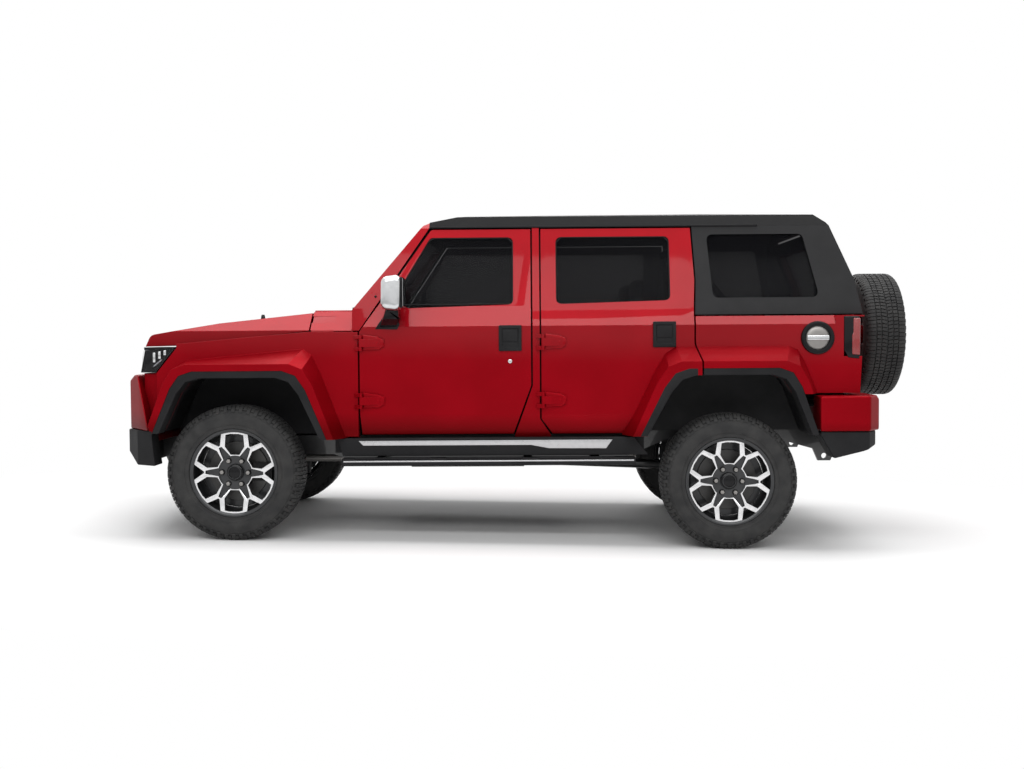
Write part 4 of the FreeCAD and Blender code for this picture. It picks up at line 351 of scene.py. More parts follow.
def slab(name, points, depth):
    """A flat outline with a face, drawn out by a vector."""
    made = ring(name, points)
    edit(made)
    bpy.ops.mesh.edge_face_add()
    bpy.ops.mesh.extrude_region_move(TRANSFORM_OT_translate={"value": depth})
    bpy.ops.mesh.select_all(action="SELECT")
    bpy.ops.mesh.normals_make_consistent(inside=False)
    leave()
    return made


def side_slab(name, outline, near, far):
    """An outline in x and z, drawn out from one y to another."""
    return slab(name, [(x, near, z) for x, z in outline], (0, far - near, 0))


def block(name, low, high, width=0.0, segments=2):
    """A box between two corners, with its edges rounded."""
    deselect()
    low, high = Vector(low), Vector(high)
    bpy.ops.mesh.primitive_cube_add(size=1, location=(low + high) / 2)
    made = newest(name)
    made.scale = high - low
    bpy.ops.object.transform_apply()
    if width:
        edit(made)
        bpy.ops.mesh.bevel(offset=width, segments=segments, affect="EDGES")
        leave()
    return made


def drum(name, centre, radius, depth, sides=24, width=0.0, axis=(0, 1, 0)):
    """A short cylinder, about the Y axis or another, with its rims rounded."""
    turn = Vector((0, 0, 1)).rotation_difference(Vector(axis)).to_euler()
    deselect()
    bpy.ops.mesh.primitive_cylinder_add(
        vertices=sides, radius=radius, depth=depth, location=centre, rotation=turn)
    made = newest(name)
    bpy.ops.object.transform_apply()
    if width:
        along = Vector(axis).normalized()

        def is_end(face):
            return abs(abs(face.normal.dot(along)) - 1) < 0.01

        edit(made)
        pick(made, "edges", lambda edge: is_end(edge.link_faces[0]) != is_end(edge.link_faces[1]))
        bpy.ops.mesh.bevel(offset=width, segments=2, affect="EDGES")
        leave()
    return made


def turned(name, profile, steps=64, axis=(0, 1, 0)):
    """A closed profile of (distance from the axis, place along it), spun about the Y axis or another."""
    made = ring(name, [(0, along, out) for out, along in profile])
    edit(made)
    bpy.ops.mesh.spin(steps=steps, angle=math.tau, center=(0, 0, 0), axis=(0, 1, 0))
    clean()
    leave()
    if axis != (0, 1, 0):
        move(made, Vector((0, 1, 0)).rotation_difference(Vector(axis)).to_matrix().to_4x4())
    return made


def tube(name, route, radius, sides=3, cyclic=False, smooth=False):
    """A round bar along a route."""
    line = bpy.data.curves.new(name, "CURVE")
    line.dimensions = "3D"
    line.bevel_depth = radius
    line.bevel_resolution = sides
    line.use_fill_caps = not cyclic
    spline = line.splines.new("NURBS" if smooth else "POLY")
    spline.points.add(len(route) - 1)
    for point, place in zip(spline.points, route):
        point.co = (*place, 1)
    spline.use_cyclic_u = cyclic
    if smooth:
        spline.order_u = 3
        spline.use_endpoint_u = not cyclic
        line.resolution_u = 6
    made = bpy.data.objects.new(name, line)
    scene.collection.objects.link(made)
    only(made)
    bpy.ops.object.convert(target="MESH")
    made = bpy.context.object
    edit(made)
    clean()
    leave()
    return made


def apply(piece, kind, **settings):
    """Adds a modifier and makes it part of the mesh."""
    only(piece)
    made = piece.modifiers.new(kind.lower(), kind)
    for key, value in settings.items():
        setattr(made, key, value)
    bpy.ops.object.modifier_apply(modifier=made.name)
    return piece


def rounded(piece, width, segments=2, angle=30):
    return apply(piece, "BEVEL", width=width, segments=segments, limit_method="ANGLE",
                 angle_limit=math.radians(angle), use_clamp_overlap=True)


def cut(piece, *cutters):
    for cutter in cutters:
        apply(piece, "BOOLEAN", object=cutter, operation="DIFFERENCE", solver="EXACT")
        bpy.data.objects.remove(cutter)


def move(piece, matrix):
    piece.data.transform(matrix)
    if matrix.determinant() < 0:
        piece.data.flip_normals()
    piece.data.update()
    return piece


def copy_of(piece, name, matrix=None):
    made = piece.copy()
    made.data = piece.data.copy()
    made.name = name
    scene.collection.objects.link(made)
    return move(made, matrix) if matrix else made


def joined(name, pieces):
    deselect()
    for piece in pieces:
        piece.select_set(True)
    bpy.context.view_layer.objects.active = pieces[0]
    bpy.ops.object.join()
    made = newest(name)
    return made


def around(name, piece, count, start=0.0):
    """Copies of a piece set in a circle about the Y axis and joined."""
    turns = [Matrix.Rotation(start + math.tau * index / count, 4, (0, 1, 0)) for index in range(count)]
    copies = [copy_of(piece, f"{name}_{index}", turn) for index, turn in enumerate(turns)]
    bpy.data.objects.remove(piece)
    return joined(name, copies)


def coloured(piece, finish):
    piece.data.materials.clear()
    piece.data.materials.append(finish)
    return piece


def settle(piece, finish, body="root", raked=True, angle=SMOOTH_ANGLE):
    """Gives a finished piece its finish, its place in the raked body and the body that carries it."""
    if finish is not None:
        coloured(piece, finish)
    if raked:
        piece.data.transform(RAKE)
    only(piece)
    if angle:
        bpy.ops.object.shade_smooth_by_angle(angle=math.radians(angle))
    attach(piece, body)
    return piece


def pair(piece, name, finish, bodies=("root", "root")):
    """A piece of the left side and its mirror image on the right."""
    piece.name = name + "_left"
    other = copy_of(piece, name + "_right", MIRROR)
    return settle(piece, finish, bodies[0]), settle(other, finish, bodies[1])


node_body = {name: body for body, names in frame["record"]["behaviour"]["bodies"].items() for name in names}


def softened(node, width, segments=3, shape=None):
    """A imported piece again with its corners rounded, which then stands for it."""
    source = frame["nodes"][node]
    made = source.copy()
    made.data = source.data.copy()
    made.parent = None
    made.name = node + "_finished"
    for key in list(made.keys()):
        del made[key]
    scene.collection.objects.link(made)
    edit(made)
    bpy.ops.mesh.remove_doubles(threshold=NODE_WELD)
    bpy.ops.mesh.dissolve_limited(angle_limit=math.radians(0.4))
    leave()
    if shape:
        shape(made)
    rounded(made, width, segments, 18)
    only(made)
    bpy.ops.object.shade_smooth_by_angle(angle=math.radians(SMOOTH_ANGLE))
    apply(made, "WEIGHTED_NORMAL", keep_sharp=True, weight=80)
    slot = node_slot[node]
    settle(made, SLOT_FINISH[slot], node_body[node], raked=False, angle=0)
    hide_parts(node)
    return made


def lined(piece, finish, test):
    """Gives the faces that pass a test a second finish, by their middle and normal in the level body."""
    piece.data.materials.append(finish)
    level = RAKE.inverted()
    for face in piece.data.polygons:
        if test(level @ face.center, face.normal):
            face.material_index = len(piece.data.materials) - 1


def inward(centre, normal):
    """A face that looks towards the middle of the vehicle."""
    return normal.y * centre.y < 0 and abs(normal.y) > 0.5


def in_arch(centre, normal):
    """A face of a wheel opening, which looks towards its axle."""
    for axle in (FRONT_AXLE, REAR_AXLE):
        way = Vector((axle - centre.x, 0, WHEEL_RADIUS - centre.z))
        near = abs(way.x) < 0.56 and centre.z < 1.0 and way.length < 0.68
        if near and normal.dot(way.normalized()) > 0.75:
            return True
    return False


def inner_face(centre, normal):
    return inward(centre, normal) or in_arch(centre, normal)


def side_y(z):
    """How far out the side wall stands at a height."""
    return SIDE_Y if z < UPPER_LOW_Z else UPPER_Y - SIDE_LEAN * max(z - GLASS_LOW_Z, 0)


def in_cabin(centre, normal):
    """A face of the shell that belongs to the cabin, the load space or a wheel housing."""
    deep = abs(centre.y) < side_y(centre.z) - 0.05 and -0.94 < centre.x < 1.82
    return inner_face(centre, normal) or deep or centre.z < 0.575


for name, node in frame["nodes"].items():
    coloured(node, SLOT_FINISH[node_slot[name]])


# Body with its edges rounded

GUARD_HALF = 0.66


def cowl_slope(piece):
    """Slopes the cowl's two corners as the bonnet's edges are."""
    for side in (-1, 1):
        outline = [(0.64, 1.4), (0.64, 1.272), (0.774, 1.167), (0.86, 1.1), (0.86, 1.4)]
        wedge = slab("wedge", [(-1.3, side * y, z) for y, z in outline], (0.355, 0, 0))
        cut(piece, move(wedge, RAKE))


def guard_edges(piece):
    """Marks off the plated middle of the lower bumper."""
    for edge in (-GUARD_HALF, GUARD_HALF):
        edit(piece)
        bpy.ops.mesh.bisect(plane_co=(0, edge, 0), plane_no=(0, 1, 0))
        leave()


def plated(centre, normal):
    """A face of the lower bumper's plated middle."""
    return normal.x < -0.45 and abs(centre.y) < GUARD_HALF and centre.z > 0.44 and normal.z < 0.5


def door_corners(piece):
    """Brings a front door's lower corners out to the line of its opening."""
    level = RAKE.inverted()
    corners = ((0.849, 0.271, 0.053, -0.11, 0.01), (0.698, 0.12, -0.902, 0.05, -0.042))
    for vertex in piece.data.vertices:
        point = level @ vertex.co
        for top_z, height, x, slant, shift in corners:
            below = (top_z - point.z) / height
            if below > 0 and abs(point.x - (x + slant * below)) < 0.012:
                point.x += shift * below
        vertex.co = RAKE @ point


lined(softened("body_shell", 0.006, shape=cowl_slope), CABIN, in_cabin)
lined(softened("front_fenders", 0.012, 4), TRIM, inner_face)
lined(softened("windscreen_frame", 0.006), CABIN, lambda centre, normal: normal.x > 0.5)
for name in ("door_front_left", "door_front_right"):
    lined(softened(name, 0.005, shape=door_corners), CABIN, inward)
for name in ("door_rear_left", "door_rear_right"):
    lined(softened(name, 0.005), CABIN, inner_face)
lined(softened("tailgate", 0.005), CABIN, lambda centre, normal: normal.x < -0.5)
for name in ("bonnet", "front_bumper", "rear_bumper"):
    softened(name, 0.012)
lined(softened("hardtop", 0.01), ROOF_TOP, lambda centre, normal: normal.z > 0.35 or normal.z < -0.5)
lined(softened("front_valance", 0.01, shape=guard_edges), CHROME_CAP, plated)
softened("rear_valance", 0.01)
for name in ("arch_trims", "sill_cladding", "side_steps", "grille", "nose_panel", "dashboard", "roll_bar"):
    softened(name, 0.004, 2)


# Tyres

PITCHES = 52
TREAD_BASE = 0.362
TREAD_DEPTH = 0.012
TREAD_PLANS = (
    [(0, 3), (19, 5), (25, 31), (8, 34), (3, 18)],
    [(22, 2), (41, 4), (44, 20), (46, 30), (29, 33)],
    [(2, 38), (12, 36), (24, 37), (26, 62), (6, 64)],
    [(28, 37), (42, 39), (45, 60), (30, 63)])
shoulder = [(0.068, TREAD_BASE), (0.068, 0.3742), (0.088, 0.373), (0.099, 0.3685), (0.1115, 0.357),
            (0.1185, 0.342), (0.1165, 0.338), (0.104, 0.35), (0.09, 0.36)]
short_shoulder = shoulder[:4] + [(0.1085, 0.3605), (0.1125, 0.3545), (0.109, 0.351)] + shoulder[-2:]


def tread_block(corners, side, shift):
    """One block of the tread, narrower at its top; its corners are (along, across) in millimetres."""
    points = [(along / 1000 + shift, side * across / 1000, TREAD_BASE) for along, across in corners]
    made = slab("block", points, (0, 0, TREAD_DEPTH))
    centre = sum((Vector(point) for point in points), Vector()) / len(points)
    edit(made)
    pick(made, "faces", lambda face: face.normal.z > 0.9)
    bpy.ops.transform.resize(value=(0.9, 0.93, 1), center_override=centre)
    leave()
    return made


def shoulder_block(profile, start, end, side, shift):
    outline = [(start + shift, side * across, out) for across, out in profile]
    return slab("shoulder", outline, (end - start, 0, 0))


def tread():
    """Every block of a tyre, from one pitch set round the axle."""
    blocks = []
    for side, shift in ((1, -0.031), (-1, -0.015)):
        blocks += [tread_block(plan, side, shift) for plan in TREAD_PLANS]
        blocks += [shoulder_block(shoulder, 0.001, 0.0205, side, shift),
                   shoulder_block(short_shoulder, 0.0245, 0.043, side, shift)]
    return around("tread", joined("pitch", blocks), PITCHES)


def carcass():
    """The tyre's casing, with its sidewall ribs and bead ridge."""
    half = [(0.3665, 0), (0.366, 0.06), (0.3632, 0.088), (0.358, 0.0995), (0.349, 0.108),
            (0.338, 0.1148), (0.3345, 0.1163), (0.3335, 0.1176), (0.3305, 0.1184), (0.3295, 0.1178),
            (0.318, 0.1206), (0.303, 0.1222), (0.287, 0.121), (0.2745, 0.1178), (0.2735, 0.1186),
            (0.271, 0.1178), (0.27, 0.1164), (0.26, 0.1126), (0.2555, 0.1118), (0.2515, 0.1128),
            (0.2485, 0.1118), (0.2462, 0.107), (0.2442, 0.1)]
    inner = [(0.2442, 0.09), (0.262, 0.1), (0.3, 0.1115), (0.33, 0.102), (0.35, 0.08), (0.355, 0)]
    outer = [(out, -along) for out, along in half[:0:-1]] + half
    inside = inner + [(out, -along) for out, along in inner[-2::-1]]
    return turned("carcass", outer + inside, 96)


# Wheels

SPOKES = 6
NUT_CIRCLE = 0.0725
HALF_SPOKE = math.radians(30)


def wheel_plan(points, depth=0.3):
    """A cutter into the wheel's face: an outline of (across, outwards) about the axle."""
    return slab("cutter", [(across, -0.2, out) for across, out in points], (0, depth, 0))


def both(points):
    """An outline of one half with its mirror image."""
    return points + [(-across, out) for across, out in points[::-1] if across]


def wheel_face():
    """Six forked spokes with a turned face over dark pockets."""
    disc = turned("face", [(0.03, -0.072), (0.095, -0.074), (0.15, -0.088), (0.223, -0.0965),
                           (0.2305, -0.095), (0.2305, -0.074), (0.15, -0.058), (0.095, -0.045),
                           (0.03, -0.04)], 96)
    window = wheel_plan(both([(0.0245, 0.0985), (0.0545, 0.1445), (0.05, 0.2105), (0.025, 0.217)]))
    fork = wheel_plan(both([(0.004, 0.169), (0.0445, 0.2235), (0.02, 0.2275)]))
    windows = around("windows", window, SPOKES)
    forks = around("forks", fork, SPOKES, HALF_SPOKE)
    pocket = both([(0.024, 0.088), (0.0205, 0.104), (0.0145, 0.138), (0.0085, 0.161)])
    pockets = around("pockets", wheel_plan(pocket, 0.2 - 0.062), SPOKES, HALF_SPOKE)
    recess = drum("recess", (0, -0.133, 0), 0.0885, 0.132, 48)
    cut(disc, windows, forks, pockets, recess)
    rounded(disc, 0.0013, 2, 28)
    disc.data.materials.append(DARK_RIM)
    disc.data.materials.append(MACHINED)
    for face in disc.data.polygons:
        out = math.hypot(face.center.x, face.center.z)
        front = -0.074 - (out - 0.095) * 0.2545 if out < 0.15 else -0.088 - (out - 0.15) * 0.1164
        on_front = face.normal.y < -0.8 and face.center.y < front + 0.0016
        face.material_index = int(on_front and out > 0.092)
    return disc


def wheel(braked):
    """A whole rim: face, barrel, cap, nuts and, on the axles, the brake disc and its shield."""
    barrel = coloured(turned("barrel", [
        (0.2438, -0.1052), (0.2438, -0.099), (0.2318, -0.094), (0.228, -0.07), (0.217, -0.05),
        (0.213, 0.02), (0.219, 0.07), (0.2425, 0.098), (0.2425, 0.1045), (0.236, 0.1045),
        (0.2135, 0.075), (0.2065, 0.02), (0.211, -0.055), (0.222, -0.075), (0.2262, -0.0985),
        (0.236, -0.105)], 96), DARK_RIM)
    hub = turned("hub", [(0.03, -0.05), (0.068, -0.05), (0.072, 0.0455), (0.03, 0.0455)], 48)
    coloured(hub, DARK_RIM)
    cap = coloured(turned("cap", [(0.0001, -0.0865), (0.02, -0.0858), (0.038, -0.083), (0.0445, -0.079),
                                  (0.0465, -0.07), (0.0465, -0.05), (0.0001, -0.05)], 36), GLOSS)
    cap_ring = coloured(turned("cap_ring", [(0.0335, -0.0875), (0.037, -0.0868), (0.0375, -0.08),
                                            (0.033, -0.08)], 36), DARK_RIM)
    nut = drum("nut", (0, -0.074, NUT_CIRCLE), 0.0118, 0.022, 6, 0.0022)
    seat = turned("nut_seat", [(0.012, -0.069), (0.0165, -0.0695), (0.0165, -0.06), (0.012, -0.06)], 24)
    move(seat, at((0, 0, NUT_CIRCLE)))
    nuts = coloured(around("nuts", nut, SPOKES, HALF_SPOKE), PIPE)
    seats = coloured(around("seats", seat, SPOKES, HALF_SPOKE), GLOSS)
    pieces = [wheel_face(), barrel, hub, cap, cap_ring, nuts, seats]
    if braked:
        disc = turned("disc", [(0.06, 0.014), (0.095, 0.014), (0.098, 0.0165), (0.166, 0.0165),
                               (0.1675, 0.018), (0.1675, 0.034), (0.166, 0.0355), (0.098, 0.0355),
                               (0.095, 0.0375), (0.06, 0.0375)], 72)
        pieces.append(coloured(disc, BRAKE))
        shield = turned("shield", [(0.168, 0.027), (0.2055, 0.027), (0.2055, 0.032), (0.168, 0.032)], 72)
        pieces.append(coloured(shield, DARK_RIM))
    else:
        cover = turned("cover", [(0.03, 0.03), (0.208, 0.03), (0.208, 0.036), (0.03, 0.036)], 72)
        pieces.append(coloured(cover, DARK_RIM))
    return joined("wheel", pieces)


def stand_in(tyre, rim, nodes, body, place):
    """Copies of a tyre and a rim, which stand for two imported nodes."""
    for source, node, slot, finish in ((tyre, nodes[0], "tyre", RUBBER), (rim, nodes[1], "rim", None)):
        made = copy_of(source, node + "_finished", place)
        settle(made, finish, body, raked=False)
        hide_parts(node)


def place_wheels():
    """Four wheels on the axles and the spare on the tailgate."""
    tyre = joined("tyre", [carcass(), tread()])
    road_wheel = wheel(True)
    spare_wheel = wheel(False)
    for end, x in (("front", FRONT_AXLE), ("rear", REAR_AXLE)):
        for side, y, turn in (("left", -HALF_TRACK, 0.0), ("right", HALF_TRACK, math.pi)):
            place = at((x, y, WHEEL_RADIUS)) @ Matrix.Rotation(turn, 4, "Z")
            nodes = (f"tyre_{end}_{side}", f"rim_{end}_{side}")
            stand_in(tyre, road_wheel, nodes, f"wheel_{end}_{side}", place)
    low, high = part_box("spare_tyre")
    place = at((low + high) / 2) @ RAKE_TURN @ Matrix.Rotation(math.pi / 2, 4, "Z")
    stand_in(tyre, spare_wheel, ("spare_tyre", "spare_rim"), "tailgate_door", place)
    for spent in (tyre, road_wheel, spare_wheel):
        bpy.data.objects.remove(spent)


place_wheels()


# Door furniture

STRAP_HEIGHTS = (1.09, 0.768)
GLASS_LEAN = 0.098 / 0.445


def door_pull(name, x, z, bodies):
    """A square black handle: a raised rim, a recess, and a paddle over its finger slot."""
    rim = block("rim", (x - 0.002, -0.8585, z - 0.002), (x + 0.125, -0.846, z + 0.141), 0.005, 3)
    hollow = block("hollow", (x + 0.0145, -0.87, z + 0.0145), (x + 0.1085, -0.8537, z + 0.1245), 0.004, 2)
    cut(rim, hollow)
    paddle = block("paddle", (x + 0.018, -0.8578, z + 0.052), (x + 0.103, -0.85, z + 0.119), 0.0025, 3)
    lip = block("lip", (x + 0.02, -0.8565, z + 0.019), (x + 0.103, -0.85, z + 0.044), 0.0025, 3)
    nudge(lip, lambda place: place.z < z + 0.024, (0, 0.003, 0))
    pair(joined(name, [rim, paddle, lip]), name, TRIM, bodies)


def door_lock():
    """The key's barrel below a front door's handle."""
    barrel = drum("barrel", (-0.064, -0.8485, 0.984), 0.0115, 0.009, 24, 0.002)
    slot = block("slot", (-0.0655, -0.8537, 0.979), (-0.0625, -0.852, 0.989), 0.0005, 1)
    pair(joined("lock", [barrel, slot]), "door_lock", SILVER, DOORS["front"])


def strap_dress(name, x, bodies):
    """Two bolts, two pin caps and a raised middle on each of a door's outside hinge straps."""
    outline = [(0.019, -0.04), (0.112, -0.036), (0.134, -0.02), (0.14, 0.01), (0.128, 0.024),
               (0.1, 0.036), (0.019, 0.047)]
    pieces = []
    for z in STRAP_HEIGHTS:
        plate = side_slab("strap", [(x + along, z + up) for along, up in outline], -0.8595, -0.8455)
        pieces.append(rounded(plate, 0.004, 3))
        pieces += [drum("bolt", (x + along, -0.8615, z), 0.0085, 0.009, 6, 0.0018)
                   for along in (0.052, 0.1)]
        pieces += [drum("pin_cap", (x + 0.009, -0.872, z + up), 0.0085, 0.005, 16, 0.0015, (0, 0, 1))
                   for up in (-0.0195, 0.0195)]
    pair(joined(name, pieces), name, PAINT, bodies)


def seal(name, outline, bodies):
    """A rubber bead round a side window, which follows the lean of the glass."""
    route = [(x, -UPPER_Y + 0.0075 + GLASS_LEAN * max(z - GLASS_LOW_Z, 0), z) for x, z in outline]
    pair(tube(name, route, 0.0055, 1, cyclic=True), name, TRIM, bodies)


door_pull("front_pull", -0.124, 1.043, DOORS["front"])
door_pull("rear_pull", 0.731, 1.058, DOORS["rear"])
door_lock()
strap_dress("front_strap_dress", -0.902, DOORS["front"])
strap_dress("rear_strap_dress", 0.11, DOORS["rear"])
seal("front_window_seal", [(-0.655, 1.302), (-0.655, 1.43), (-0.525, 1.66), (-0.49, 1.678),
                           (-0.075, 1.678), (-0.047, 1.65), (-0.047, 1.302)], DOORS["front"])
seal("rear_window_seal", [(0.196, 1.302), (0.196, 1.65), (0.224, 1.678), (0.802, 1.678),
                          (0.83, 1.65), (0.83, 1.33), (0.802, 1.302)], DOORS["rear"])


# Mirrors

WIDEST_Y = 1.0555


def door_mirror():
    """A plated cap over a black shell, on a stout arm with a foot on the door."""
    cap = block("cap", (-0.762, -1.055, 1.27), (-0.651, -0.888, 1.452), 0.034, 6)
    edit(cap)
    pick(cap, "verts", lambda point: point.co.x > -0.686)
    bpy.ops.transform.resize(value=(1, 1.05, 1.05), center_override=(-0.651, -0.97, 1.36))
    leave()
    cut(cap, block("behind", (-0.6505, -1.2, 1.1), (-0.5, -0.7, 1.6)))
    for point in cap.data.vertices:
        point.co.y = max(point.co.y, -WIDEST_Y)
        point.co.x += 0.06 * max(0, (point.co.z - 1.37)) + 0.05 * max(0, -0.97 - point.co.y)
    shell = block("shell", (-0.653, -1.048, 1.278), (-0.6385, -0.894, 1.446), 0.006, 3)
    glass = block("mirror_glass", (-0.6395, -1.04, 1.287), (-0.6375, -0.902, 1.438), 0.0008, 1)
    outline = [(-0.79, 1.172), (-0.7, 1.172), (-0.672, 1.22), (-0.672, 1.276), (-0.74, 1.276)]
    arm = side_slab("arm", outline, -0.955, -0.835)
    nudge(arm, lambda place: place.y < -0.9 and place.z < 1.2, (0.035, 0, 0.05))
    rounded(arm, 0.008, 3, 25)
    outline = [(-0.816, 1.166), (-0.69, 1.163), (-0.676, 1.19), (-0.7, 1.262), (-0.742, 1.272)]
    foot = rounded(side_slab("foot", outline, -0.848, -0.812), 0.005, 3, 25)
    neck = turned("neck", [(0.0001, -0.01), (0.03, -0.01), (0.032, -0.006), (0.032, 0.006), (0.03, 0.01),
                           (0.0001, 0.01)], 32, (0, 0, 1))
    move(neck, at((-0.705, -0.93, 1.268)))
    bodies = DOORS["front"]
    caps = pair(cap, "mirror_cap", CHROME_CAP, bodies)
    pair(joined("mirror_shell", [shell, arm, foot, neck]), "mirror_shell", GLOSS, bodies)
    pair(glass, "mirror_face", CHROME, bodies)
    for made, node in zip(caps, ("mirror_left", "mirror_right")):
        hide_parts(node)


door_mirror()


# Door openings and gutter


def arch_edge():
    """The black edge that a rear door carries round its part of the wheel arch."""
    edge = [(0.686, 0.5695), (0.819, 0.809), (0.8785, 0.8787), (0.9535, 0.902), (0.963, 0.902)]
    rim = [(0.647, 0.57), (0.7802, 0.8368), (0.84, 0.9146), (0.9155, 0.9405), (0.963, 0.9405)]
    trim = side_slab("edge_trim", edge + rim[::-1], -0.9645, -0.86)
    pair(rounded(trim, 0.004, 2), "door_arch_trim", TRIM, DOORS["rear"])


def pillar_lining():
    """The inner face of the pillar between the doors, upright below and leaning above."""
    low = side_slab("lining", [(0.03, 0.6), (0.133, 0.6), (0.133, 1.27), (0.03, 1.27)], -0.763, -0.742)
    high = slab("upper_lining", [(0.03, -0.748, 1.27), (0.133, -0.748, 1.27), (0.133, -0.652, 1.715),
                                 (0.03, -0.652, 1.715)], (0, 0.018, 0))
    pair(joined("pillar_lining", [rounded(low, 0.006), rounded(high, 0.006)]), "pillar_lining", CABIN)


def opening_seal():
    """The bead round the door openings."""
    route = [(-0.908, -0.757, 1.152), (-0.815, -0.735, 1.29), (-0.512, -0.646, 1.7315),
             (0.957, -0.646, 1.7315), (0.973, -0.705, 1.43), (0.965, -0.742, 1.236), (0.965, -0.757, 1.1)]
    pair(tube("weather", route, 0.0085, 2), "door_opening_seal", TRIM)


def roof_gutter():
    outline = [(-0.52, 1.7345), (1.33, 1.7345), (1.33, 1.744), (-0.515, 1.744)]
    pair(rounded(side_slab("gutter", outline, -0.713, -0.7), 0.002), "roof_gutter", TRIM)


arch_edge()
pillar_lining()
opening_seal()
roof_gutter()


# Side trim, step and filler

FILLER_PLACE = (1.639, -0.8465, 1.103)


def sill_strip():
    """The bright blade on the sill's cladding."""
    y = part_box("sill_cladding")[0].y - 0.0005
    strip = side_slab("sill_strip", [(-0.911, 0.545), (0.502, 0.546), (0.467, 0.497), (0.15, 0.499),
                                     (0.05, 0.518), (-0.885, 0.519)], y - 0.0025, y + 0.004)
    pair(rounded(strip, 0.0015, 2), "sill_strip", BRIGHT)


def step_dress():
    """The bright line along a side step and the ribs of its three treads."""
    edge_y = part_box("side_steps")[0].y
    line = block("step_line", (-0.99, edge_y - 0.0012, 0.4305), (0.618, edge_y + 0.004, 0.4385), 0.002, 2)
    pair(line, "step_line", BRIGHT)
    ribs = []
    for start in (-0.93, -0.42, 0.09):
        for row in range(5):
            y = edge_y + 0.012 + row * 0.013
            ribs.append(block("rib", (start, y, 0.4465), (start + 0.42, y + 0.007, 0.4515), 0.0015, 1))
    pair(joined("step_ribs", ribs), "step_ribs", TRIM)


def filler():
    """The fuel cap: a black ring with its screws, a steel dish and a raised bright bar."""
    collar = turned("ring", [(0.0925, -0.006), (0.089, -0.0125), (0.08, -0.0145), (0.068, -0.0125),
                             (0.0645, -0.006), (0.0645, 0.001), (0.0925, 0.001)], 72)
    dish = turned("dish", [(0.0001, -0.0105), (0.03, -0.0115), (0.048, -0.0105), (0.058, -0.0075),
                           (0.064, -0.004), (0.064, 0), (0.0001, 0)], 72)
    grip = block("grip", (-0.061, -0.0185, -0.014), (0.061, -0.006, 0.014), 0.0045, 4)
    screws = around("screws", drum("screw", (0, -0.0145, 0.0815), 0.0035, 0.003, 10), 8)
    for piece in (collar, dish, grip, screws):
        move(piece, at(FILLER_PLACE))
    collar = settle(joined("filler_ring", [collar, screws]), GLOSS)
    settle(joined("filler_cap", [coloured(dish, PIPE), coloured(grip, CHROME_CAP)]), None)
    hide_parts("fuel_filler")


sill_strip()
step_dress()
filler()


# Lamps

LAMP_INNER_Y = -0.5
BULB_PLACES = ((-2.118, -0.565, 0.99), (-2.118, -0.685, 0.99))


def tail_lamp():
    """A black housing that wraps the corner, with a ribbed red lens standing out of it."""
    outline = [(1.785, 1.035), (1.808, 0.992), (1.87, 0.985), (1.872, 1.222), (1.785, 1.222)]
    housing = rounded(side_slab("housing", outline, -0.85, -0.76), 0.006, 3, 25)
    lens = side_slab("lens", [(1.828, 1.01), (1.884, 1.006), (1.886, 1.212), (1.835, 1.212), (1.835, 1.13),
                              (1.828, 1.12)], -0.853, -0.757)
    nudge(lens, lambda place: place.y < -0.84 and place.x > 1.87, (-0.012, 0, 0))
    rounded(lens, 0.007, 4, 25)
    housings = pair(housing, "tail_lamp_housing", GLOSS)
    pair(lens, "tail_lamp_lens", RED_LENS)
    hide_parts("tail_lamps")


def headlamp():
    """Inside the clear cover: a dark tray, two reflector bowls, a light guide and three fins."""
    tray = side_slab("tray", [(-2.129, 0.934), (-2.046, 0.934), (-1.94, 1.063), (-1.94, 1.066),
                              (-2.104, 1.058)], -0.829, LAMP_INNER_Y)
    rounded(tray, 0.003, 2, 25)
    bowls, lenses = [], []
    for place in BULB_PLACES:
        bowl = turned("bowl", [(0.05, -0.02), (0.047, -0.021), (0.038, -0.004), (0.02, 0.01),
                               (0.0001, 0.014), (0.0001, 0.018), (0.022, 0.016), (0.045, 0.001)],
                      40, (1, 0, 0))
        lens = turned("bulb", [(0.0001, -0.012), (0.01, -0.009), (0.0145, -0.002), (0.015, 0.006),
                               (0.0001, 0.01)], 28, (1, 0, 0))
        bowls.append(move(bowl, at(place)))
        lenses.append(move(lens, at(place)))
    guide = tube("guide", [(-2.127, -0.51, 0.948), (-2.127, -0.74, 0.948), (-2.1, -0.8, 0.952),
                           (-2.06, -0.83, 0.962), (-2.01, -0.832, 1.005)], 0.004, 2, smooth=True)
    for index in range(3):
        fin = block("fin", (-2.06 + 0.03 * index, -0.833, 0.99 + 0.02 * index),
                    (-2.045 + 0.03 * index, -0.82, 1.045 + 0.006 * index), 0.003, 2)
        bowls.append(fin)
    strip = side_slab("lamp_seal", [(-2.107, 1.0585), (-1.94, 1.0665), (-1.94, 1.0745),
                                    (-2.109, 1.0745)], -0.832, LAMP_INNER_Y)
    pair(rounded(strip, 0.002, 2, 25), "lamp_seal", TRIM)
    pair(tray, "lamp_tray", GLOSS)
    pair(joined("lamp_bowls", bowls), "lamp_bowls", CHROME)
    pair(joined("lamp_bulbs", lenses + [guide]), "lamp_bulbs", LAMP_GLOW)


tail_lamp()
headlamp()


# Nose


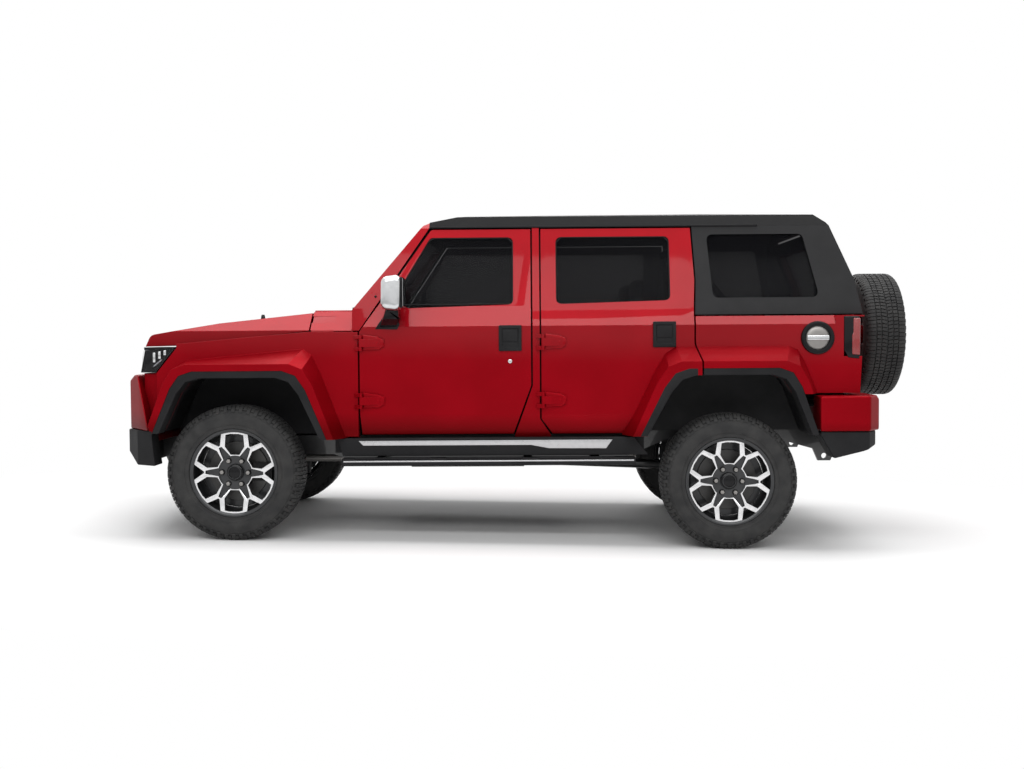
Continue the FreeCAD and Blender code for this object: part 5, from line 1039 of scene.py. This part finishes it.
def fog_lamps():
    """A small lamp in a black bezel at each end of the bumper."""
    lenses, bezels = [], []
    for y in (-0.62, 0.62):
        place = at((-2.231, y, 0.73)) @ Matrix.Rotation(-math.copysign(0.16, y), 4, "Z")
        lens = turned("fog", [(0.0001, -0.006), (0.02, -0.005), (0.03, -0.002), (0.033, 0.004),
                              (0.0001, 0.01)], 32, (1, 0, 0))
        bezel = turned("bezel", [(0.033, 0.002), (0.036, -0.01), (0.044, -0.013), (0.052, -0.009),
                                 (0.055, 0.02), (0.033, 0.02)], 40, (1, 0, 0))
        lenses.append(move(lens, place))
        bezels.append(move(bezel, place))
    settle(joined("fog_lamps", lenses), CHROME_CAP)
    settle(joined("fog_bezels", bezels), GLOSS)


def grille_mesh(rows=9, columns=40, wire=0.0022):
    """A fine mesh behind the grille's slots."""
    low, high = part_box("grille")
    bars = []
    for index in range(rows):
        z = low.z + 0.02 + index * (high.z - low.z - 0.04) / (rows - 1)
        x = high.x - 0.012
        bars.append(tube("mesh_bar", [(x, -0.46, z), (x, 0.46, z)], wire, 0))
    for index in range(columns):
        y = -0.455 + index * 0.91 / (columns - 1)
        x = high.x - 0.008
        bars.append(tube("mesh_bar", [(x, y, low.z + 0.012), (x, y, high.z - 0.012)], wire, 0))
    settle(joined("grille_mesh", bars), GLOSS, raked=False)


fog_lamps()
grille_mesh()


# Screen foot, wipers and washer jets


def screen_foot():
    """The cowl's sloped corner, and the bolted plate at the foot of the screen's frame."""
    corner = slab("cowl_corner", [(-1.182, -0.63, 1.2788), (-1.182, -0.782, 1.1597),
                                  (-1.182, -0.782, 1.145), (-1.182, -0.63, 1.264)], (0.228, 0, 0))
    pair(rounded(corner, 0.002, 2), "cowl_corner", PAINT)
    bolts = [drum("bolt", (x, -0.79, z), 0.0065, 0.012, 12, 0.0015)
             for x, z in ((-0.815, 1.35), (-0.846, 1.309), (-0.89, 1.247), (-0.916, 1.2))]
    outline = [(-0.832, 1.378), (-0.796, 1.36), (-0.925, 1.166), (-0.955, 1.166)]
    pair(rounded(side_slab("plate", outline, -0.786, -0.779), 0.002, 2), "foot_plate", PAINT)
    pair(joined("foot_bolts", bolts), "foot_bolts", GLOSS)


def wiper(name, y, reach=0.36):
    """An arm with a sprung blade that lies along the foot of the screen."""
    low = Vector((-0.985, y, 1.288))
    tip = Vector((-0.945, y + reach, 1.325))
    crown = low + (tip - low) * 0.5 + Vector((-0.012, 0, 0.006))
    arm = tube("arm", [low, crown, tip], 0.006, 2, smooth=True)
    blade = tube("blade", [tip - Vector((0.002, reach * 0.45, 0.002)),
                           tip + Vector((0.002, reach * 0.4, 0.004))], 0.005, 1)
    boss = drum("boss", low, 0.014, 0.022, 20, 0.003, (0, 0, 1))
    settle(joined(name, [arm, blade, boss]), TRIM)


def washer_jets():
    """Two nozzles on the bonnet."""
    jets = []
    for y in (-0.3, 0.3):
        jet = turned("jet", [(0.0001, -0.005), (0.014, -0.005), (0.0135, 0.004), (0.011, 0.02),
                             (0.0085, 0.027), (0.0001, 0.029)], 20, (0, 0, 1))
        jets.append(move(jet, at((-1.555, y, 1.236))))
    settle(joined("washer_jets", jets), GLOSS, "bonnet_lid")


screen_foot()
wiper("wiper_left", -0.42)
wiper("wiper_right", 0.18)
washer_jets()


# Seats

SEAT_Y = 0.375
REST_Y = 0.4
CLOTH_FRAMES = 20
CREASE_WIDTH = 0.006
CREASE_DEPTH = 0.007


def inflate(pad, most=0.014):
    """Swells a pad as stuffed cloth, with each point kept within a short way of where it was."""
    before = [point.co.copy() for point in pad.data.vertices]
    cloth = pad.modifiers.new("cloth", "CLOTH")
    cloth.settings.use_pressure = True
    cloth.settings.uniform_pressure_force = 4
    cloth.settings.effector_weights.gravity = 0
    cloth.point_cache.frame_start, cloth.point_cache.frame_end = 1, CLOTH_FRAMES
    for number in range(1, CLOTH_FRAMES + 1):
        scene.frame_set(number)
    swollen = pad.evaluated_get(bpy.context.evaluated_depsgraph_get())
    after = [point.co.copy() for point in swollen.data.vertices]
    pad.modifiers.remove(cloth)
    scene.frame_set(1)
    for point, start, end in zip(pad.data.vertices, before, after):
        way = end - start
        point.co = start + way * min(1, most / max(way.length, 1e-9))


def cushion(name, low, high, slope=0.0, seams=(), cross=()):
    """A stuffed pad: a rounded block, swollen, with sewn channels along and across."""
    pad = block(name, low, high, 0.03, 4)
    base = low[2]
    for point in pad.data.vertices:
        point.co.x += (point.co.z - base) * slope
    apply(pad, "REMESH", mode="VOXEL", voxel_size=0.009)
    inflate(pad)
    for point, normal in zip(pad.data.vertices, [vertex.normal.copy() for vertex in pad.data.vertices]):
        place = point.co.z if slope else point.co.x
        ways = [point.co.y - seam for seam in seams] + [place - seam for seam in cross]
        depth = max([math.exp(-(way / CREASE_WIDTH) ** 2) for way in ways] + [0.0])
        point.co -= normal * CREASE_DEPTH * depth
    apply(pad, "SUBSURF", levels=1, render_levels=1)
    settle(pad, FABRIC, angle=80)
    return pad


def front_seat(side, y):
    """A front seat's cushion, back and head rest; gives back the cushion."""
    seams = (y - 0.15, y + 0.15)
    pad = cushion(f"seat_cushion_{side}", (-0.345, y - 0.235, 0.735), (0.02, y + 0.235, 0.845), 0.0,
                  seams, (-0.2, -0.06))
    cushion(f"seat_back_{side}", (0.02, y - 0.23, 0.86), (0.115, y + 0.23, 1.31), 0.19, seams, (1.0, 1.14))
    cushion(f"head_rest_{side}", (0.135, y - 0.13, 1.335), (0.205, y + 0.13, 1.455), 0.12)
    return pad


def bench():
    """The rear bench: one cushion, one back and two head rests."""
    cushion("bench_cushion", (0.165, -0.595, 0.735), (0.53, 0.595, 0.845), 0.0, (-0.2, 0.2), (0.35,))
    cushion("bench_back", (0.525, -0.59, 0.86), (0.62, 0.59, 1.31), 0.19, (-0.2, 0.2), (1.08,))
    for index, y in enumerate((-REST_Y, REST_Y)):
        cushion(f"bench_rest_{index}", (0.635, y - 0.13, 1.335), (0.7, y + 0.13, 1.45), 0.12)


def seat_frames():
    """The boxed frames under the cushions, and the rods of the head rests."""
    boxes = [block("seat_frame", (-0.28, y - 0.17, 0.575), (0.06, y + 0.17, 0.733), 0.012, 2)
             for y in (-SEAT_Y, SEAT_Y)]
    boxes.append(block("bench_frame", (0.22, -0.42, 0.575), (0.56, 0.42, 0.733), 0.012, 2))
    settle(joined("seat_frames", boxes), CABIN)
    rods = []
    for x, y in ((0.16, -SEAT_Y), (0.16, SEAT_Y), (0.66, -REST_Y), (0.66, REST_Y)):
        for step in (-0.06, 0.06):
            rod = [(x - 0.02, y + step, 1.28), (x + 0.002, y + step, 1.37)]
            rods.append(tube("rest_rod", rod, 0.006, 2))
    settle(joined("rest_rods", rods), SILVER)


first_pad = front_seat("left", -SEAT_Y)
front_seat("right", SEAT_Y)
bench()
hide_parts("seats")
seat_frames()


# Springs


def coil(x, y, low, high, radius=0.048, wire=0.0085, turns=6, steps=84):
    """A coil spring between its seats."""
    route = []
    for step in range(steps + 1):
        turn = math.tau * turns * step / steps
        route.append((x + radius * math.cos(turn), y + radius * math.sin(turn),
                      low + (high - low) * step / steps))
    return tube("coil", route, wire, 2)


def rear_coils():
    low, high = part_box("rear_springs")
    y = high.y - 0.058
    coils = [coil((low.x + high.x) / 2, place, low.z + 0.009, high.z - 0.009) for place in (-y, y)]
    made = settle(joined("rear_coils", coils), BLACK_PAINT, raked=False)
    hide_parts("rear_springs")


rear_coils()


# Stage and light

WORLD_LIGHT = 0.4


def pale_floor():
    """Near white, and plain white to the camera at some way from the vehicle."""
    made = Finish("pale_floor", roughness=0.95, specular_ior_level=0.1)
    made.set(base_color=made.blend(made.noise(0.3), (0.93, 0.93, 0.93), (0.95, 0.95, 0.95)))
    flat = made.node("VectorMath", {"operation": "MULTIPLY"}, [made.place, (0.62, 1.0, 0)])
    reach = made.node("VectorMath", {"operation": "LENGTH"}, [flat], 1)
    sight = made.node("LightPath")
    glow = made.node("Emission", None, {"Color": (1, 1, 1, 1), "Strength": 1.0})
    mask = made.ramp(reach, 1.9, 3.2) * sight
    lit = Value(made, made.shader.outputs["BSDF"])
    mixed = made.node("MixShader", None, [mask, lit, glow])
    made.tree.links.new(mixed.socket, made.tree.nodes["Material Output"].inputs["Surface"])
    return made.material


def studio_world():
    """White to the camera, in reflections and through glass, and a dimmer light on surfaces."""
    world = bpy.data.worlds.new("studio")
    scene.world = world
    world.use_nodes = True
    nodes, links = world.node_tree.nodes, world.node_tree.links
    background = nodes["Background"]
    background.inputs["Color"].default_value = (1, 1, 1, 1)
    path = nodes.new("ShaderNodeLightPath")
    direct = path.outputs["Is Camera Ray"]
    for kind in ("Is Glossy Ray", "Is Transmission Ray"):
        larger = nodes.new("ShaderNodeMath")
        larger.operation = "MAXIMUM"
        links.new(direct, larger.inputs[0])
        links.new(path.outputs[kind], larger.inputs[1])
        direct = larger.outputs[0]
    level = nodes.new("ShaderNodeMapRange")
    level.inputs["To Min"].default_value = WORLD_LIGHT
    links.new(direct, level.inputs["Value"])
    links.new(level.outputs["Result"], background.inputs["Strength"])


def lamp(name, place, target, size, power):
    """A soft lamp that looks at a target."""
    light = bpy.data.lights.new(name, "AREA")
    light.shape = "RECTANGLE"
    light.size, light.size_y = size
    light.energy = power
    made = bpy.data.objects.new(name, light)
    scene.collection.objects.link(made)
    made.location = place
    made.rotation_euler = (Vector(target) - Vector(place)).to_track_quat("-Z", "Y").to_euler()


deselect()
bpy.ops.mesh.primitive_plane_add(size=80)
floor = newest("floor")
floor.data.materials.append(pale_floor())
studio_world()
lamp("overhead", (0, 0, 6), (0, 0, 0), (9, 4), 380)
lamp("near_high", (0, -6.6, 6.3), (0, -0.8, 1.2), (11, 0.9), 210)
lamp("near_side", (0, -8.2, 4.9), (0, -0.7, 1.4), (10, 1.4), 170)
lamp("far_side", (0, 8.2, 4.9), (0, 0, 1.2), (10, 1.4), 170)

scene.view_settings.view_transform = "Standard"
